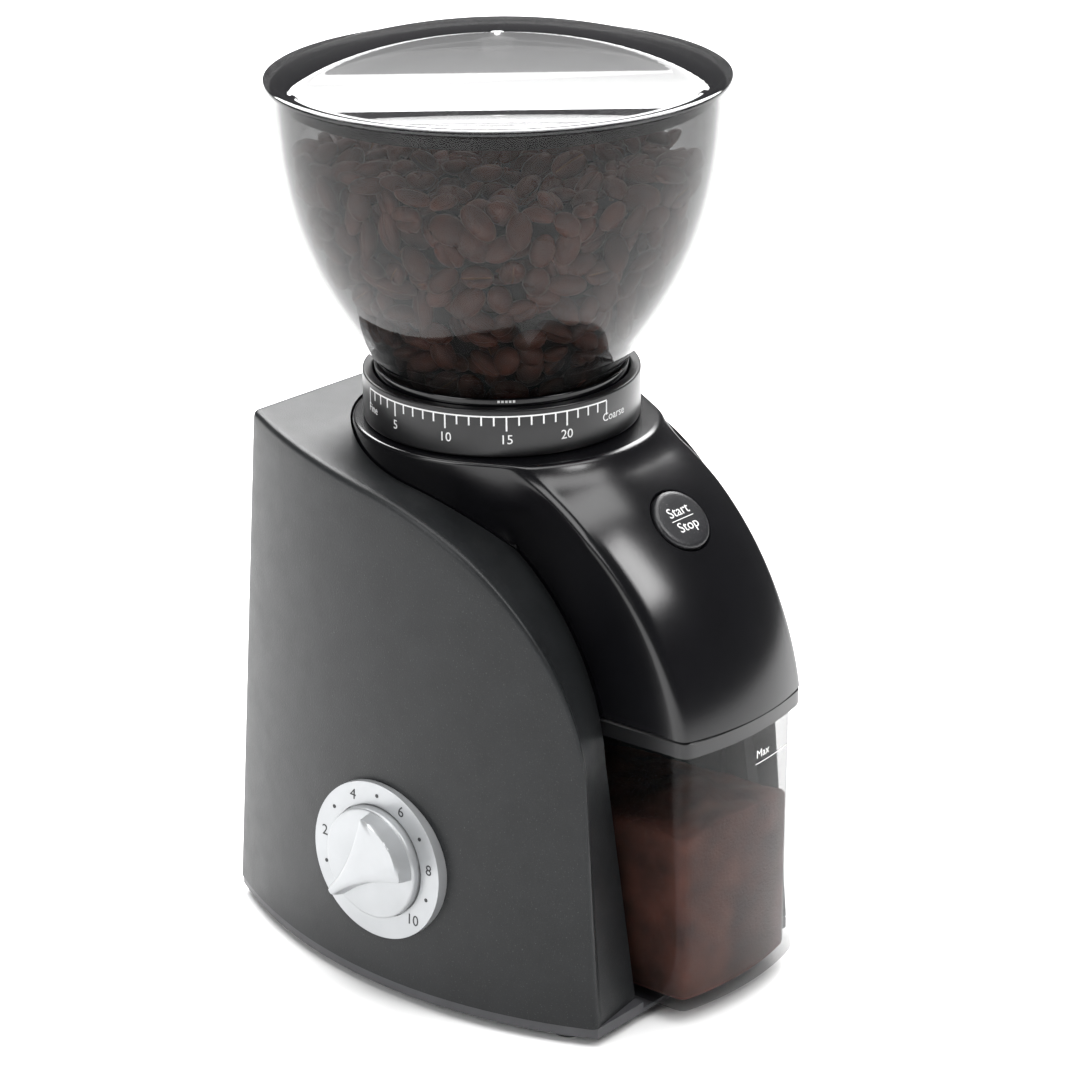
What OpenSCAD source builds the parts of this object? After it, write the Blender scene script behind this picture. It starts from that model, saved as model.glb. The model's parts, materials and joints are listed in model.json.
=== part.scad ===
// Burr coffee grinder: two curved side shells round a glossy front hood, a smoked bean hopper
// that turns on a numbered scale ring, and a clear grounds bin that slides out at the front.
// The origin is on the floor, under the grinding axis. The front faces -Y, the dial is on -X.

/* [Body] */
// Half width of the body's left side, with the dial, at its base
body_half_w = 73; // [70:1:88]
// Half width of the body's right side at its base
right_half_w = 59; // [58:1:88]
// How much narrower each side is at shoulder height than at its base
side_taper = 9.5; // [6:0.5:12]
// Plan radius of the curved side panels
side_arc_r = 160; // [140:5:200]
// Distance from the grinding axis back to the rear wall at the floor
rear_y = 65; // [63:1:80]
// Height of the rear edge of the side shells
shell_top_z = 165; // [162:1:168]
// Wall thickness of the side shells
shell_wall = 2.5; // [1.5:0.25:3]
// How far the inner edge of each shell's front lies behind its outer crease
face_lean = 11; // [6:0.5:13]

/* [Base] */
// Height of the rubber feet that shows under the base plate
foot_h = 2.5; // [1.5:0.5:5]
// Thickness of the base plate
base_t = 3.5; // [3:0.5:5]
// Radius of each foot
foot_r = 7; // [5:0.5:9]

/* [Hood] */
// Half width of the hood at its front crease
hood_half_w = 26.3; // [24:0.5:29]
// Radius of the hood's side profile along its middle
hood_arc_r = 96; // [94:0.5:98]
// How far the middle of the hood's front stands proud of its creases
hood_bulge = 4.5; // [2:0.5:6]
// Wall thickness of the hood
hood_wall = 2.5; // [1.5:0.25:3]
// Outer radius of the round collar
collar_r = 45; // [44:0.5:48]

/* [Scale ring and adjusting collar] */
// Outer radius of the numbered scale ring
scale_r = 41.6; // [41:0.2:43.6]
// Height of the scale ring
scale_h = 14.5; // [12:0.5:16]
// Outer radius of the adjusting collar inside the scale ring
adjust_r = 38; // [36:0.5:38.6]
// Direction that the collar's setting mark faces, degrees from +X
setting_dir = 225; // [155:5:270]

/* [Hopper] */
// Outer radius of the hopper's rim
hopper_r = 65.5; // [60:0.5:78]
// Outer radius of the hopper's neck
neck_r = 33.2; // [30:0.2:33.2]
// Height of the hopper's rim above the floor
hopper_top_z = 265.3; // [220:0.1:312]
// Wall thickness of the hopper
hopper_wall = 2.2; // [1.5:0.1:3]
// Radius of the opening in the hopper's floor
throat_r = 19.5; // [15:0.5:21]

/* [Lid] */
// How far the lid's flange reaches past the hopper's rim
lid_overhang = 2; // [1:0.25:4]
// Rise of the lid's crest above its flange
lid_rise = 11.5; // [8:0.5:16]
// Thickness of the lid
lid_t = 2.2; // [1.6:0.1:3]
// Direction that the lid's finger scoop faces, degrees from +X
scoop_dir = 223.4; // [0:1:360]

/* [Grounds bin] */
// Largest half width of the bin
bin_half_w = 29.6; // [24:0.2:29.6]
// Length of the bin from its back to the middle of its front
bin_len = 76; // [60:1:80]
// Height of the clear bin
bin_h = 83.5; // [70:0.5:84]
// Height of the bin's black rim frame
bin_rim_h = 5; // [3:0.5:5]
// Wall thickness of the bin
bin_wall = 2.2; // [1.5:0.1:3]

/* [Grinding gear] */
// Outer radius of the grinding chamber
chamber_r = 33; // [32:0.5:33.5]
// Outer radius of the upper ring burr
ring_burr_r = 24; // [23:0.5:26]
// Radius of the cone burr at its foot
cone_burr_r = 19; // [16:0.5:20]
// Gap between the two burrs, square to the axis
burr_gap = 1.2; // [0.9:0.1:2]
// Radius of the burr shaft
shaft_r = 4; // [3:0.25:5]
// Gear module
gear_module = 1; // [0.8:0.05:1]
// Teeth on the motor pinion
pinion_teeth = 12; // [11:1:13]
// Teeth on the idler's large wheel
idler_teeth = 36; // [32:1:36]
// Teeth on the idler's small wheel
idler_pinion_teeth = 12; // [11:1:13]
// Teeth on the output gear
output_teeth = 44; // [40:1:44]

/* [Motor] */
// Outer radius of the motor case
motor_r = 21; // [18:0.5:21]
// Length of the motor case
motor_len = 76; // [60:1:78]
// Radius of the motor shaft
motor_shaft_r = 2.5; // [1.5:0.25:3]

/* [Start button] */
// Radius of the start button
button_r = 9.5; // [7:0.5:10]
// Angle of the button's axis back from upright, degrees
button_tilt = 43; // [40:1:48]
// Travel of the button
button_travel = 2; // [1:0.25:2.5]

/* [Timer dial] */
// Distance of the dial's centre in front of the grinding axis
dial_y = 14; // [8:1:20]
// Height of the dial's centre above the floor
dial_z = 45; // [40:1:60]
// Outer radius of the dial's bezel
bezel_r = 24.6; // [22:0.2:28]
// Radius of the knob
knob_r = 17.3; // [14:0.2:18]

/* [Power inlet] */
// Radius of the bore that a power lead passes through
cord_bore_r = 3.5; // [2.5:0.25:5]

/* [Fits] */
// Radial clearance of a shaft running in its bearing
running_gap = 0.05; // [0.02:0.01:0.1]
// Clearance round a piece that lifts, slides or turns in another by hand
hand_gap = 0.4; // [0.3:0.05:0.8]
// Gap between casings at their joint lines
seam_gap = 0.6; // [0.4:0.1:1]

/* [Hidden] */
$fn = 96;
far = 400;

// Heights of the base and the seam above it
seam_z = foot_h + base_t;
// Side panels: centre of their plan arc, and their slope inwards
side_arc_y = -5;
side_arc_x = side_arc_r - body_half_w;
right_arc_x = side_arc_r - right_half_w;
taper_h = 157.5;
side_slope = side_taper / taper_h;
// Rear wall, leaning forward from the floor to the top edge
rear_lean = 9;
rear_tilt = atan(rear_lean / shell_top_z);
// Front crease of the shells: an arc, a straight run down to the floor and a flat run to the rear
crease_arc_r = 84.5;
crease_arc_y = 5;
crease_arc_z = shell_top_z - 90;
crease_top_t = 6;
crease_low_t = 86;
crease_foot_y = -84.6;
inner_foot_lean = 4;
crease_x = 56;
flat_crown = 0.6;
// Hood: centre of its side profile, widths, and the heights it spans
hood_arc_y = -5;
hood_arc_z = shell_top_z - 87.7;
hood_back_half_w = 30;
hood_back_y = -18;
hood_shoulder_y = -60;
hood_base_z = hood_arc_z + 16.2;
collar_top_z = shell_top_z - 0.8;
collar_foot_z = collar_top_z - 34;
hood_plan_r = hood_half_w * hood_half_w / (2 * hood_bulge) + hood_bulge / 2;
shell_inner_x = hood_back_half_w + seam_gap;
// Bay for the grounds bin
bin_base_z = foot_h + 2;
bin_front_y = hood_arc_y - hood_arc_r + 2.4;
bin_back_y = bin_front_y + bin_len;
bin_top_z = bin_base_z + bin_h;
bin_front_half_w = hood_half_w - 0.5;
bin_bulge = 3.6;
bay_half_w = bin_half_w + 1.2;
bay_wall = 2;
bay_back_y = bin_back_y + 1.5;
bay_front_y = -62;
bin_shoulder_y = -66;
deck_z = bin_top_z + bin_rim_h + 1.2;
deck_t = 3;
deck_top_z = deck_z + deck_t;
// Gear train, from the deck up
gear_face = 6;
output_z = deck_top_z + 3;
idler_wheel_z = output_z + gear_face + 2;
gear_clear = 0.12;
idler_dist = gear_module * (idler_pinion_teeth + output_teeth) / 2;
motor_dist = gear_module * (pinion_teeth + idler_teeth) / 2;
idler_angle = 45;
idler_x = idler_dist * cos(idler_angle);
idler_y = idler_dist * sin(idler_angle);
motor_y = idler_y + sqrt(motor_dist * motor_dist - idler_x * idler_x);
mesh_angle = atan2(motor_y - idler_y, -idler_x);
cover_wall = 2.5;
cover_top_z = idler_wheel_z + gear_face + 4;
cover_roof_t = 2.5;
idler_pin_r = 2.5;
bush_r = shaft_r + 2.5;
// Motor, hanging under the deck
motor_top_z = deck_z;
motor_base_z = motor_top_z - motor_len;
motor_wall = 1.5;
motor_head_t = 4;
end_cap_t = 3;
armature_r = motor_r - motor_wall - 4.2;
screw_r = 1.5;
motor_screw_x = motor_r - 7;
// Grinding chamber
chamber_z = cover_top_z;
chamber_floor_t = 3;
chamber_wall = 2.8;
chamber_h = 32;
chamber_top_z = chamber_z + chamber_h;
chamber_bore_r = chamber_r - chamber_wall;
outlet_half_w = 9;
outlet_z = chamber_z + chamber_floor_t;
outlet_h = 11;
impeller_z = outlet_z + 1;
impeller_t = 3;
vane_h = 4.5;
cone_z = impeller_z + impeller_t;
cone_h = 20;
cone_top_r = 11;
cone_teeth = 8;
ring_z = cone_z + 5;
ring_h = 15;
carrier_r = chamber_bore_r - hand_gap;
carrier_top_z = ring_z + ring_h + 5;
gasket_t = 2;
bolt_r = 2.5;
// Adjusting collar and scale ring
scale_z = collar_top_z + 0.3;
scale_top_z = scale_z + scale_h;
scale_bore_r = adjust_r + hand_gap;
guide_r = neck_r + 2.8;
collar_turn_r = guide_r - hand_gap;
adjust_z = carrier_top_z + gasket_t + 1.4;
adjust_top_z = scale_top_z + 2;
adjust_skirt_z = chamber_top_z - 8;
// Hopper
neck_z = adjust_z + 1;
bowl_z = scale_top_z - 3;
bowl_h = hopper_top_z - bowl_z;
bowl_steps = 24;
// Lid
lid_r = hopper_r + lid_overhang;
lid_z = hopper_top_z + 0.3;
flange_t = 1.6;
dome_r = hopper_r - 1;
dome_sphere_r = (dome_r * dome_r + lid_rise * lid_rise) / (2 * lid_rise);
dome_z = lid_z + flange_t;
plug_r = hopper_r - hopper_wall - hand_gap;
plug_h = 5;
// The scoop is a cylinder that meets the lid along its crest and at the front of its flange
scoop_r = 78;
scoop_out = dome_r - 2.5;
scoop_chord = sqrt(scoop_out * scoop_out + lid_rise * lid_rise);
scoop_deep = sqrt(scoop_r * scoop_r - scoop_chord * scoop_chord / 4);
scoop_x = scoop_out / 2 + scoop_deep * lid_rise / scoop_chord;
scoop_z = dome_z + lid_rise / 2 + scoop_deep * scoop_out / scoop_chord;
// Start button, placed along its own axis from the hood's arc centre
button_top = hood_arc_r + 0.6;
button_flange_r = button_r + 1.4;
button_flange_top = hood_arc_r - hood_wall - 1.4;
button_flange_t = 1.6;
stem_r = 3.2;
stem_foot = hood_arc_r - 11.5;
guide_bore_r = button_flange_r + hand_gap;
guide_wall = 1.6;
guide_foot = hood_arc_r - 16;
switch_t = 2;
// Timer dial
dial_pitch = atan(side_slope);
dial_yaw = asin((dial_y + side_arc_y) / side_arc_r);
dial_x = side_x(-dial_y, dial_z, 0);
bezel_t = 1.8;
bezel_floor_z = 0.6;
bezel_back_z = -2.4;
bezel_bore_r = knob_r + hand_gap;
knob_base_t = 3;
knob_ridge_h = 6.5;
spindle_r = 3;
dial_hole_r = 14;
// Power inlet
cord_x = 22;
cord_z = 18;
bushing_r = cord_bore_r + 4;
bushing_flange_r = bushing_r + 2.5;
bushing_flange_t = 2.5;
bushing_tail = 6;

// Circuit board at the left, on four posts of the base plate
board_z = seam_z + 10;
board_t = 1.6;
board_x = bay_half_w - 0.8;
board_y = 0;
board_w = 24;
board_l = 42;

function smooth(k) = let(s = min(1, max(0, k))) s * s * (3 - 2 * s);

// Half width of the left panel at a place, less an inset, and of the panel on either side
function side_x(y, z, inset) = panel_x(y, z, inset, side_arc_x);
function panel_x(y, z, inset, arc_x) =
    sqrt(pow(side_arc_r - inset - side_slope * (z - foot_h), 2) - pow(y - side_arc_y, 2)) - arc_x;

// ---- Shared forms ----

// One cross-section of the shells' form in the plane at x: lean 0 is the outer crease and 1 the inner edge
function shell_section(x, lean, inset) =
    let(
        rear_top_y = rear_y - rear_lean - inset,
        flat_y = crease_arc_y - crease_arc_r * sin(crease_top_t),
        flat_z = crease_arc_z + crease_arc_r * cos(crease_top_t)
    )
    concat(
        [[x, rear_y - inset, 0]],
        [for (i = [0:6])
            let(u = i / 7, drop = inset + lean * face_lean * smooth((u - 0.35) / 0.65))
            [x, rear_top_y + (flat_y - rear_top_y) * u,
             shell_top_z + (flat_z - shell_top_z) * u + 4 * flat_crown * u * (1 - u) - drop]],
        [for (i = [0:20])
            let(
                t = crease_top_t + (crease_low_t - crease_top_t) * i / 20,
                r = crease_arc_r - inset - lean * face_lean
            )
            [x, crease_arc_y - r * sin(t), crease_arc_z + r * cos(t)]],
        [[x, crease_foot_y + inset + lean * inner_foot_lean, 0]]
    );

// The left half of the shells' form, lofted through cross-sections
module shell_loft(inset) {
    stations = [[-90, 0], [-crease_x, 0], [-shell_inner_x, 1], [0, 1]];
    sections = [for (s = stations) shell_section(s[0], s[1], inset)];
    n = len(sections[0]);
    points = [for (section = sections, point = section) point];
    sides = [for (k = [0:len(stations) - 2], i = [0:n - 1])
        let(a = k * n + i, b = k * n + (i + 1) % n) each [[b, a, b + n], [b + n, a, a + n]]];
    first_cap = [for (i = [0:n - 1]) i];
    last_cap = [for (i = [n - 1:-1:0]) (len(stations) - 1) * n + i];
    polyhedron(points, concat(sides, [first_cap, last_cap]), convexity = 6);
}

// Half of the shells' form, drawn on the left: the loft, cut by the curved and tapered side panel
module shell_half(inset, arc_x) {
    intersection() {
        shell_loft(inset);
        side_cone(inset, arc_x);
    }
}

// Solid inside a curved and tapered side panel, drawn on the left
module side_cone(inset, arc_x) {
    side_h = 200;
    translate([arc_x, side_arc_y, foot_h])
        cylinder(h = side_h, r1 = side_arc_r - inset,
                 r2 = side_arc_r - inset - side_slope * side_h, $fn = 240);
}

module base_outline(inset) {
    intersection() {
        translate([side_arc_x, side_arc_y]) circle(r = side_arc_r - inset, $fn = 240);
        translate([-right_arc_x, side_arc_y]) circle(r = side_arc_r - inset, $fn = 240);
        translate([-far / 2, crease_foot_y + inset]) square([far, rear_y - crease_foot_y - 2 * inset]);
    }
}

// Places of the feet and of the screw bosses: distances from the middle along one side's panel
function foot_side(arc_x) = [for (y = [-70, 50]) [panel_x(y, foot_h, 0, arc_x) - foot_r - 4, y]];
function boss_side(arc_x) = [for (y = [-48, 36]) [panel_x(y, seam_z, shell_wall, arc_x) - 6, y]];
function both_sides(left, right) = concat([for (p = left) [-p[0], p[1]]], right);
function foot_places() = both_sides(foot_side(side_arc_x), foot_side(right_arc_x));
function boss_places() = both_sides(boss_side(side_arc_x), boss_side(right_arc_x));

// One side shell, drawn on the left, with its panel where arc_x puts it
module side_shell(arc_x) {
    boss_r = 4;
    boss_h = 14;
    difference() {
        union() {
            difference() {
                shell_half(0, arc_x);
                shell_half(shell_wall, arc_x);
            }
            for (place = boss_side(arc_x)) {
                translate([-place[0], place[1], seam_z]) cylinder(h = boss_h, r = boss_r);
                translate([-place[0] - 6.5, place[1] - 1, seam_z]) cube([6, 2, boss_h]);
            }
        }
        translate([-far / 2, -far / 2, -far + seam_z]) cube([far, far, far]);
        cylinder(h = far, r = collar_r + seam_gap);
        translate([-shell_inner_x, -far, 0]) cube([2 * shell_inner_x, far - 20, far]);
        for (place = boss_side(arc_x))
            translate([-place[0], place[1], seam_z - 1]) cylinder(h = boss_h - 2, r = screw_r);
    }
}

// Frame whose Z runs out along the dial's axis, with X up
module dial_frame() {
    translate([-dial_x, -dial_y, dial_z]) rotate([0, dial_pitch - 90, dial_yaw]) children();
}

// Frame whose Z runs straight out of the rear wall at the power inlet
module cord_frame() {
    translate([cord_x, rear_y - rear_lean * cord_z / shell_top_z, cord_z])
        rotate([rear_tilt - 90, 0, 0]) children();
}

// Frame whose Z runs out along the start button's axis, measured from the hood's arc centre
module button_frame() {
    translate([0, hood_arc_y, hood_arc_z]) rotate([button_tilt, 0, 0]) children();
}

// The hood's outer form: a barrel round a crosswise axis, cut by two side planes
module hood_form(inset) {
    intersection() {
        translate([0, hood_arc_y, hood_arc_z]) rotate([0, 90, 0])
            rotate_extrude($fn = 180) intersection() {
                translate([hood_arc_r - hood_plan_r, 0]) circle(r = hood_plan_r - inset, $fn = 180);
                translate([0, -40]) square([hood_arc_r, 80]);
            }
        translate([0, 0, hood_base_z - inset * 2]) linear_extrude(collar_top_z - hood_base_z + inset)
            polygon([
                [-hood_back_half_w + inset, hood_back_y], [hood_back_half_w - inset, hood_back_y],
                [hood_back_half_w - inset, hood_shoulder_y],
                [hood_half_w + 0.3 - inset, hood_arc_y - hood_arc_r],
                [-hood_half_w - 0.3 + inset, hood_arc_y - hood_arc_r],
                [-hood_back_half_w + inset, hood_shoulder_y]
            ]);
    }
}

// Plan outline of the bin: a bowed front, sides that swell a little, and a square back
module bin_outline(inset) {
    bow_r = bin_front_half_w * bin_front_half_w / (2 * bin_bulge) + bin_bulge / 2;
    intersection() {
        polygon([
            [-bin_half_w + inset, bin_back_y - inset], [bin_half_w - inset, bin_back_y - inset],
            [bin_half_w - inset, bin_shoulder_y], [bin_front_half_w - inset, bin_front_y],
            [-bin_front_half_w + inset, bin_front_y], [-bin_half_w + inset, bin_shoulder_y]
        ]);
        translate([0, bin_front_y + bow_r]) circle(r = bow_r - inset);
    }
}

function involute(a) = tan(a) - a * PI / 180;

// Half the angle that a tooth fills at radius r
function tooth_half_angle(teeth, r) =
    let(
        pitch_r = gear_module * teeth / 2,
        base_r = pitch_r * cos(20),
        a = r > base_r ? acos(base_r / r) : 0
    )
    90 / teeth - gear_clear / 2 / pitch_r * 180 / PI + (involute(20) - involute(a)) * 180 / PI;

function polar(r, a) = [r * cos(a), r * sin(a)];

// Outline of a spur gear with involute flanks, one tooth centred at angle phase
module gear_outline(teeth, phase) {
    pitch_r = gear_module * teeth / 2;
    root_r = pitch_r - 1.15 * gear_module;
    tip_r = pitch_r + 0.85 * gear_module;
    flank = [for (i = [0:3]) root_r + (tip_r - root_r) * i / 3];
    polygon([for (k = [0:teeth - 1])
        let(middle = phase + k * 360 / teeth)
        each concat(
            [for (i = [0:3]) polar(flank[i], middle - tooth_half_angle(teeth, flank[i]))],
            [for (i = [3:-1:0]) polar(flank[i], middle + tooth_half_angle(teeth, flank[i]))]
        )]);
}

// ---- Base ----

module base_plate() color([0.2, 0.2, 0.21]) {
    difference() {
        translate([0, 0, foot_h]) linear_extrude(base_t) base_outline(1);
        translate([-bay_half_w, -far, bin_base_z - 0.5]) cube([2 * bay_half_w, far + bay_back_y, far]);
        for (place = foot_places())
            translate([place[0], place[1], foot_h - 1]) cylinder(h = 2, r = foot_r);
        for (place = boss_places()) {
            translate([place[0], place[1], 0]) cylinder(h = far, r = screw_r);
            translate([place[0], place[1], 0]) cylinder(h = foot_h + 1.8, r = 3.2);
        }
    }
    for (place = board_posts())
        translate([place[0], place[1], seam_z]) cylinder(h = board_z - seam_z, r = 3);
}

module rubber_feet() color([0.06, 0.06, 0.06]) {
    for (place = foot_places())
        translate([place[0], place[1], 0]) {
            cylinder(h = 1, r1 = foot_r - 1, r2 = foot_r);
            translate([0, 0, 1]) cylinder(h = foot_h, r = foot_r);
        }
}

module base_screws() color([0.6, 0.6, 0.62]) {
    for (place = boss_places())
        translate([place[0], place[1], foot_h + 0.2]) difference() {
            union() {
                cylinder(h = 1.6, r = 3);
                cylinder(h = 12, r = screw_r);
            }
            translate([0, 0, -0.1]) cylinder(h = 1, r = 1.2, $fn = 6);
        }
}

// ---- Casing ----

module left_side_shell() color([0.13, 0.13, 0.14]) {
    difference() {
        side_shell(side_arc_x);
        dial_frame() translate([0, 0, -20]) cylinder(h = 40, r = dial_hole_r);
    }
}

module right_side_shell() color([0.13, 0.13, 0.14]) {
    difference() {
        mirror([1, 0, 0]) side_shell(right_arc_x);
        cord_frame() translate([0, 0, -20]) cylinder(h = 40, r = bushing_r);
    }
}

module front_hood() color([0.04, 0.04, 0.05]) {
    difference() {
        union() {
            difference() {
                hood_form(0);
                hood_form(hood_wall);
                translate([0, 0, collar_foot_z]) cylinder(h = far, r = collar_r - hood_wall / 2);
            }
            hood_collar();
            button_frame() difference() {
                translate([0, 0, guide_foot]) cylinder(h = hood_arc_r - hood_wall / 2 - guide_foot,
                                                       r = guide_bore_r + guide_wall);
                translate([0, 0, guide_foot - 1]) cylinder(h = hood_arc_r - hood_wall + 0.4 - guide_foot,
                                                           r = guide_bore_r);
            }
        }
        cylinder(h = far, r = guide_r);
        button_frame() cylinder(h = far, r = button_r + hand_gap);
        translate([-far / 2, hood_back_y, 0]) cube([far, far, collar_foot_z]);
    }
}

// The round collar, open at the front below the hood's top
module hood_collar() {
    difference() {
        translate([0, 0, collar_foot_z]) cylinder(h = collar_top_z - collar_foot_z, r = collar_r);
        translate([0, 0, collar_foot_z - 1])
            cylinder(h = collar_top_z - collar_foot_z - 2, r = collar_r - hood_wall);
        translate([-hood_half_w, -far, collar_foot_z - 1])
            cube([2 * hood_half_w, far - 20, collar_top_z - collar_foot_z - 2]);
    }
}

module inner_frame() color([0.25, 0.25, 0.26]) {
    bulkhead_t = 6;
    wide = bay_half_w + bay_wall;
    difference() {
        union() {
            for (side = [-1, 1])
                translate([side > 0 ? bay_half_w : -wide, bay_front_y, seam_z])
                    cube([bay_wall, bay_back_y - bay_front_y, bin_top_z + bin_rim_h - seam_z]);
            translate([-wide, bay_back_y, seam_z]) cube([2 * wide, bulkhead_t, deck_top_z - seam_z]);
            translate([-wide, bay_back_y, deck_z]) cube([2 * wide, motor_y + motor_r - bay_back_y, deck_t]);
            translate([-hood_half_w + hood_wall + 1, bay_front_y, deck_z])
                cube([2 * (hood_half_w - hood_wall - 1), bay_back_y - bay_front_y + 1, deck_t]);
        }
        translate([0, 0, deck_z - 1]) cylinder(h = deck_t + 2, r = bush_r);
        translate([0, motor_y, deck_z - 1]) cylinder(h = deck_t + 2, r = motor_shaft_r + 3);
        translate([idler_x, idler_y, deck_z - 1]) cylinder(h = deck_t + 2, r = idler_pin_r);
        for (side = [-1, 1])
            translate([side * motor_screw_x, motor_y, deck_z - 1]) cylinder(h = deck_t + 2, r = screw_r);
        chute_drop(0, 20);
    }
}

// ---- Motor ----

module motor_case() color([0.7, 0.7, 0.72]) {
    translate([0, motor_y, 0]) difference() {
        translate([0, 0, motor_base_z]) cylinder(h = motor_len, r = motor_r);
        translate([0, 0, motor_base_z - 1])
            cylinder(h = motor_len - motor_head_t + 1, r = motor_r - motor_wall);
        cylinder(h = far, r = motor_shaft_r + running_gap);
        for (side = [-1, 1])
            translate([side * motor_screw_x, 0, 0]) cylinder(h = far, r = screw_r);
    }
}

module motor_end_cap() color([0.15, 0.15, 0.16]) {
    translate([0, motor_y, motor_base_z - end_cap_t]) difference() {
        union() {
            cylinder(h = end_cap_t, r = motor_r);
            cylinder(h = end_cap_t + 4, r = motor_r - motor_wall);
        }
        translate([0, 0, end_cap_t]) cylinder(h = 5, r = armature_r + 1);
        translate([0, 0, -1]) cylinder(h = far, r = motor_shaft_r + running_gap);
    }
}

module motor_magnets() color([0.3, 0.3, 0.32]) {
    magnet_h = 46;
    translate([0, motor_y, motor_base_z + 12]) difference() {
        cylinder(h = magnet_h, r = motor_r - motor_wall);
        translate([0, 0, -1]) cylinder(h = magnet_h + 2, r = armature_r + 0.9);
        translate([-4, -far / 2, -1]) cube([8, far, magnet_h + 2]);
    }
}

module motor_screws() color([0.6, 0.6, 0.62]) {
    for (side = [-1, 1])
        translate([side * motor_screw_x, motor_y, 0]) {
            translate([0, 0, deck_top_z]) cylinder(h = 2, r = 2.8);
            translate([0, 0, deck_top_z - 6.5]) cylinder(h = 7, r = screw_r);
        }
}

module motor_rotor() color([0.72, 0.45, 0.2]) {
    translate([0, motor_y, 0]) {
        translate([0, 0, motor_base_z - end_cap_t + 0.5])
            cylinder(h = idler_wheel_z + gear_face + 0.5 - motor_base_z + end_cap_t, r = motor_shaft_r);
        translate([0, 0, motor_base_z + 14]) cylinder(h = 42, r = armature_r);
        translate([0, 0, motor_base_z + 6]) cylinder(h = 8, r = armature_r / 2);
    }
}

module motor_pinion() color([0.75, 0.6, 0.25]) {
    translate([0, motor_y, idler_wheel_z - 0.5]) linear_extrude(gear_face + 1) difference() {
        gear_outline(pinion_teeth, mesh_angle + 180 + 180 / pinion_teeth);
        circle(r = motor_shaft_r);
    }
}

// ---- Gear train ----

module idler_pin() color([0.7, 0.7, 0.72]) {
    translate([idler_x, idler_y, deck_z]) cylinder(h = cover_top_z - deck_z, r = idler_pin_r);
}

module idler_gear() color([0.85, 0.85, 0.8]) {
    translate([idler_x, idler_y, 0]) difference() {
        union() {
            translate([0, 0, deck_top_z + 0.5]) cylinder(h = 2, r = idler_pin_r + 2);
            translate([0, 0, output_z - 0.5]) linear_extrude(idler_wheel_z - output_z + 1)
                gear_outline(idler_pinion_teeth, idler_angle + 180 + 180 / idler_pinion_teeth);
            translate([0, 0, idler_wheel_z]) linear_extrude(gear_face)
                gear_outline(idler_teeth, mesh_angle);
        }
        translate([0, 0, deck_z]) cylinder(h = far, r = idler_pin_r + running_gap);
    }
}

module output_gear() color([0.85, 0.85, 0.8]) {
    translate([0, 0, output_z]) linear_extrude(gear_face) difference() {
        gear_outline(output_teeth, idler_angle);
        circle(r = shaft_r);
    }
}

module burr_shaft() color([0.75, 0.75, 0.77]) {
    difference() {
        translate([0, 0, deck_z + 0.4]) cylinder(h = cone_z + cone_h - deck_z - 0.4, r = shaft_r);
        translate([0, 0, cone_z + cone_h - 12]) cylinder(h = 13, r = bolt_r);
    }
}

module shaft_bushes() color([0.7, 0.5, 0.25]) {
    for (span = [[deck_z, deck_t], [cover_top_z - cover_roof_t, cover_roof_t + chamber_floor_t]])
        translate([0, 0, span[0]]) difference() {
            cylinder(h = span[1], r = bush_r);
            translate([0, 0, -1]) cylinder(h = span[1] + 2, r = shaft_r + running_gap);
        }
}

module gearbox_outline(inset) {
    output_room_r = gear_module * output_teeth / 2 + 3.5;
    idler_room_r = gear_module * idler_teeth / 2 + 3.5;
    pinion_room_r = gear_module * pinion_teeth / 2 + 5.5;
    circle(r = output_room_r + cover_wall - inset);
    translate([idler_x, idler_y]) circle(r = idler_room_r + cover_wall - inset);
    translate([0, motor_y]) circle(r = pinion_room_r + cover_wall - inset);
}

module gearbox_cover() color([0.22, 0.22, 0.23]) {
    difference() {
        union() {
            translate([0, 0, deck_top_z]) linear_extrude(cover_top_z - deck_top_z) gearbox_outline(0);
            translate([0, 0, cover_top_z - cover_roof_t]) cylinder(h = cover_roof_t, r = chamber_r);
        }
        translate([0, 0, deck_top_z - 1]) linear_extrude(cover_top_z - deck_top_z - cover_roof_t + 1)
            gearbox_outline(cover_wall);
        cylinder(h = far, r = bush_r);
        translate([idler_x, idler_y, 0]) cylinder(h = far, r = idler_pin_r);
        for (side = [-1, 1])
            translate([side * motor_screw_x, motor_y, deck_top_z - 1]) cylinder(h = 4, r = 3.4);
    }
}

// ---- Grinding chamber ----

module grind_chamber() color([0.3, 0.3, 0.32]) {
    difference() {
        translate([0, 0, chamber_z]) cylinder(h = chamber_h, r = chamber_r);
        translate([0, 0, outlet_z]) cylinder(h = far, r = chamber_bore_r);
        translate([0, 0, chamber_z - 1]) cylinder(h = far, r = bush_r);
        translate([-outlet_half_w, -chamber_r - 1, outlet_z]) cube([2 * outlet_half_w, 12, outlet_h]);
    }
}

// Solid that fills the chute's passage, grown by a margin, down from the outlet's top
module chute_drop(grow, below) {
    translate([-outlet_half_w - grow, -56 - grow, deck_z - below])
        cube([2 * (outlet_half_w + grow), 17 + 2 * grow, outlet_z + outlet_h - deck_z + below + grow]);
}

module exit_chute() color([0.1, 0.1, 0.11]) {
    chute_wall = 1.6;
    difference() {
        union() {
            translate([0, 0, deck_top_z]) intersection() {
                translate([0, 0, -deck_top_z]) chute_drop(chute_wall, 0);
                translate([-far / 2, -far / 2, 0]) cube([far, far, far]);
            }
            translate([-outlet_half_w - chute_wall, -42, outlet_z - chute_wall])
                cube([2 * (outlet_half_w + chute_wall), 20, outlet_h + 2 * chute_wall]);
        }
        chute_drop(0, 20);
        translate([-outlet_half_w, -50, outlet_z]) cube([2 * outlet_half_w, 40, outlet_h]);
        cylinder(h = far, r = chamber_r);
    }
}

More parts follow.
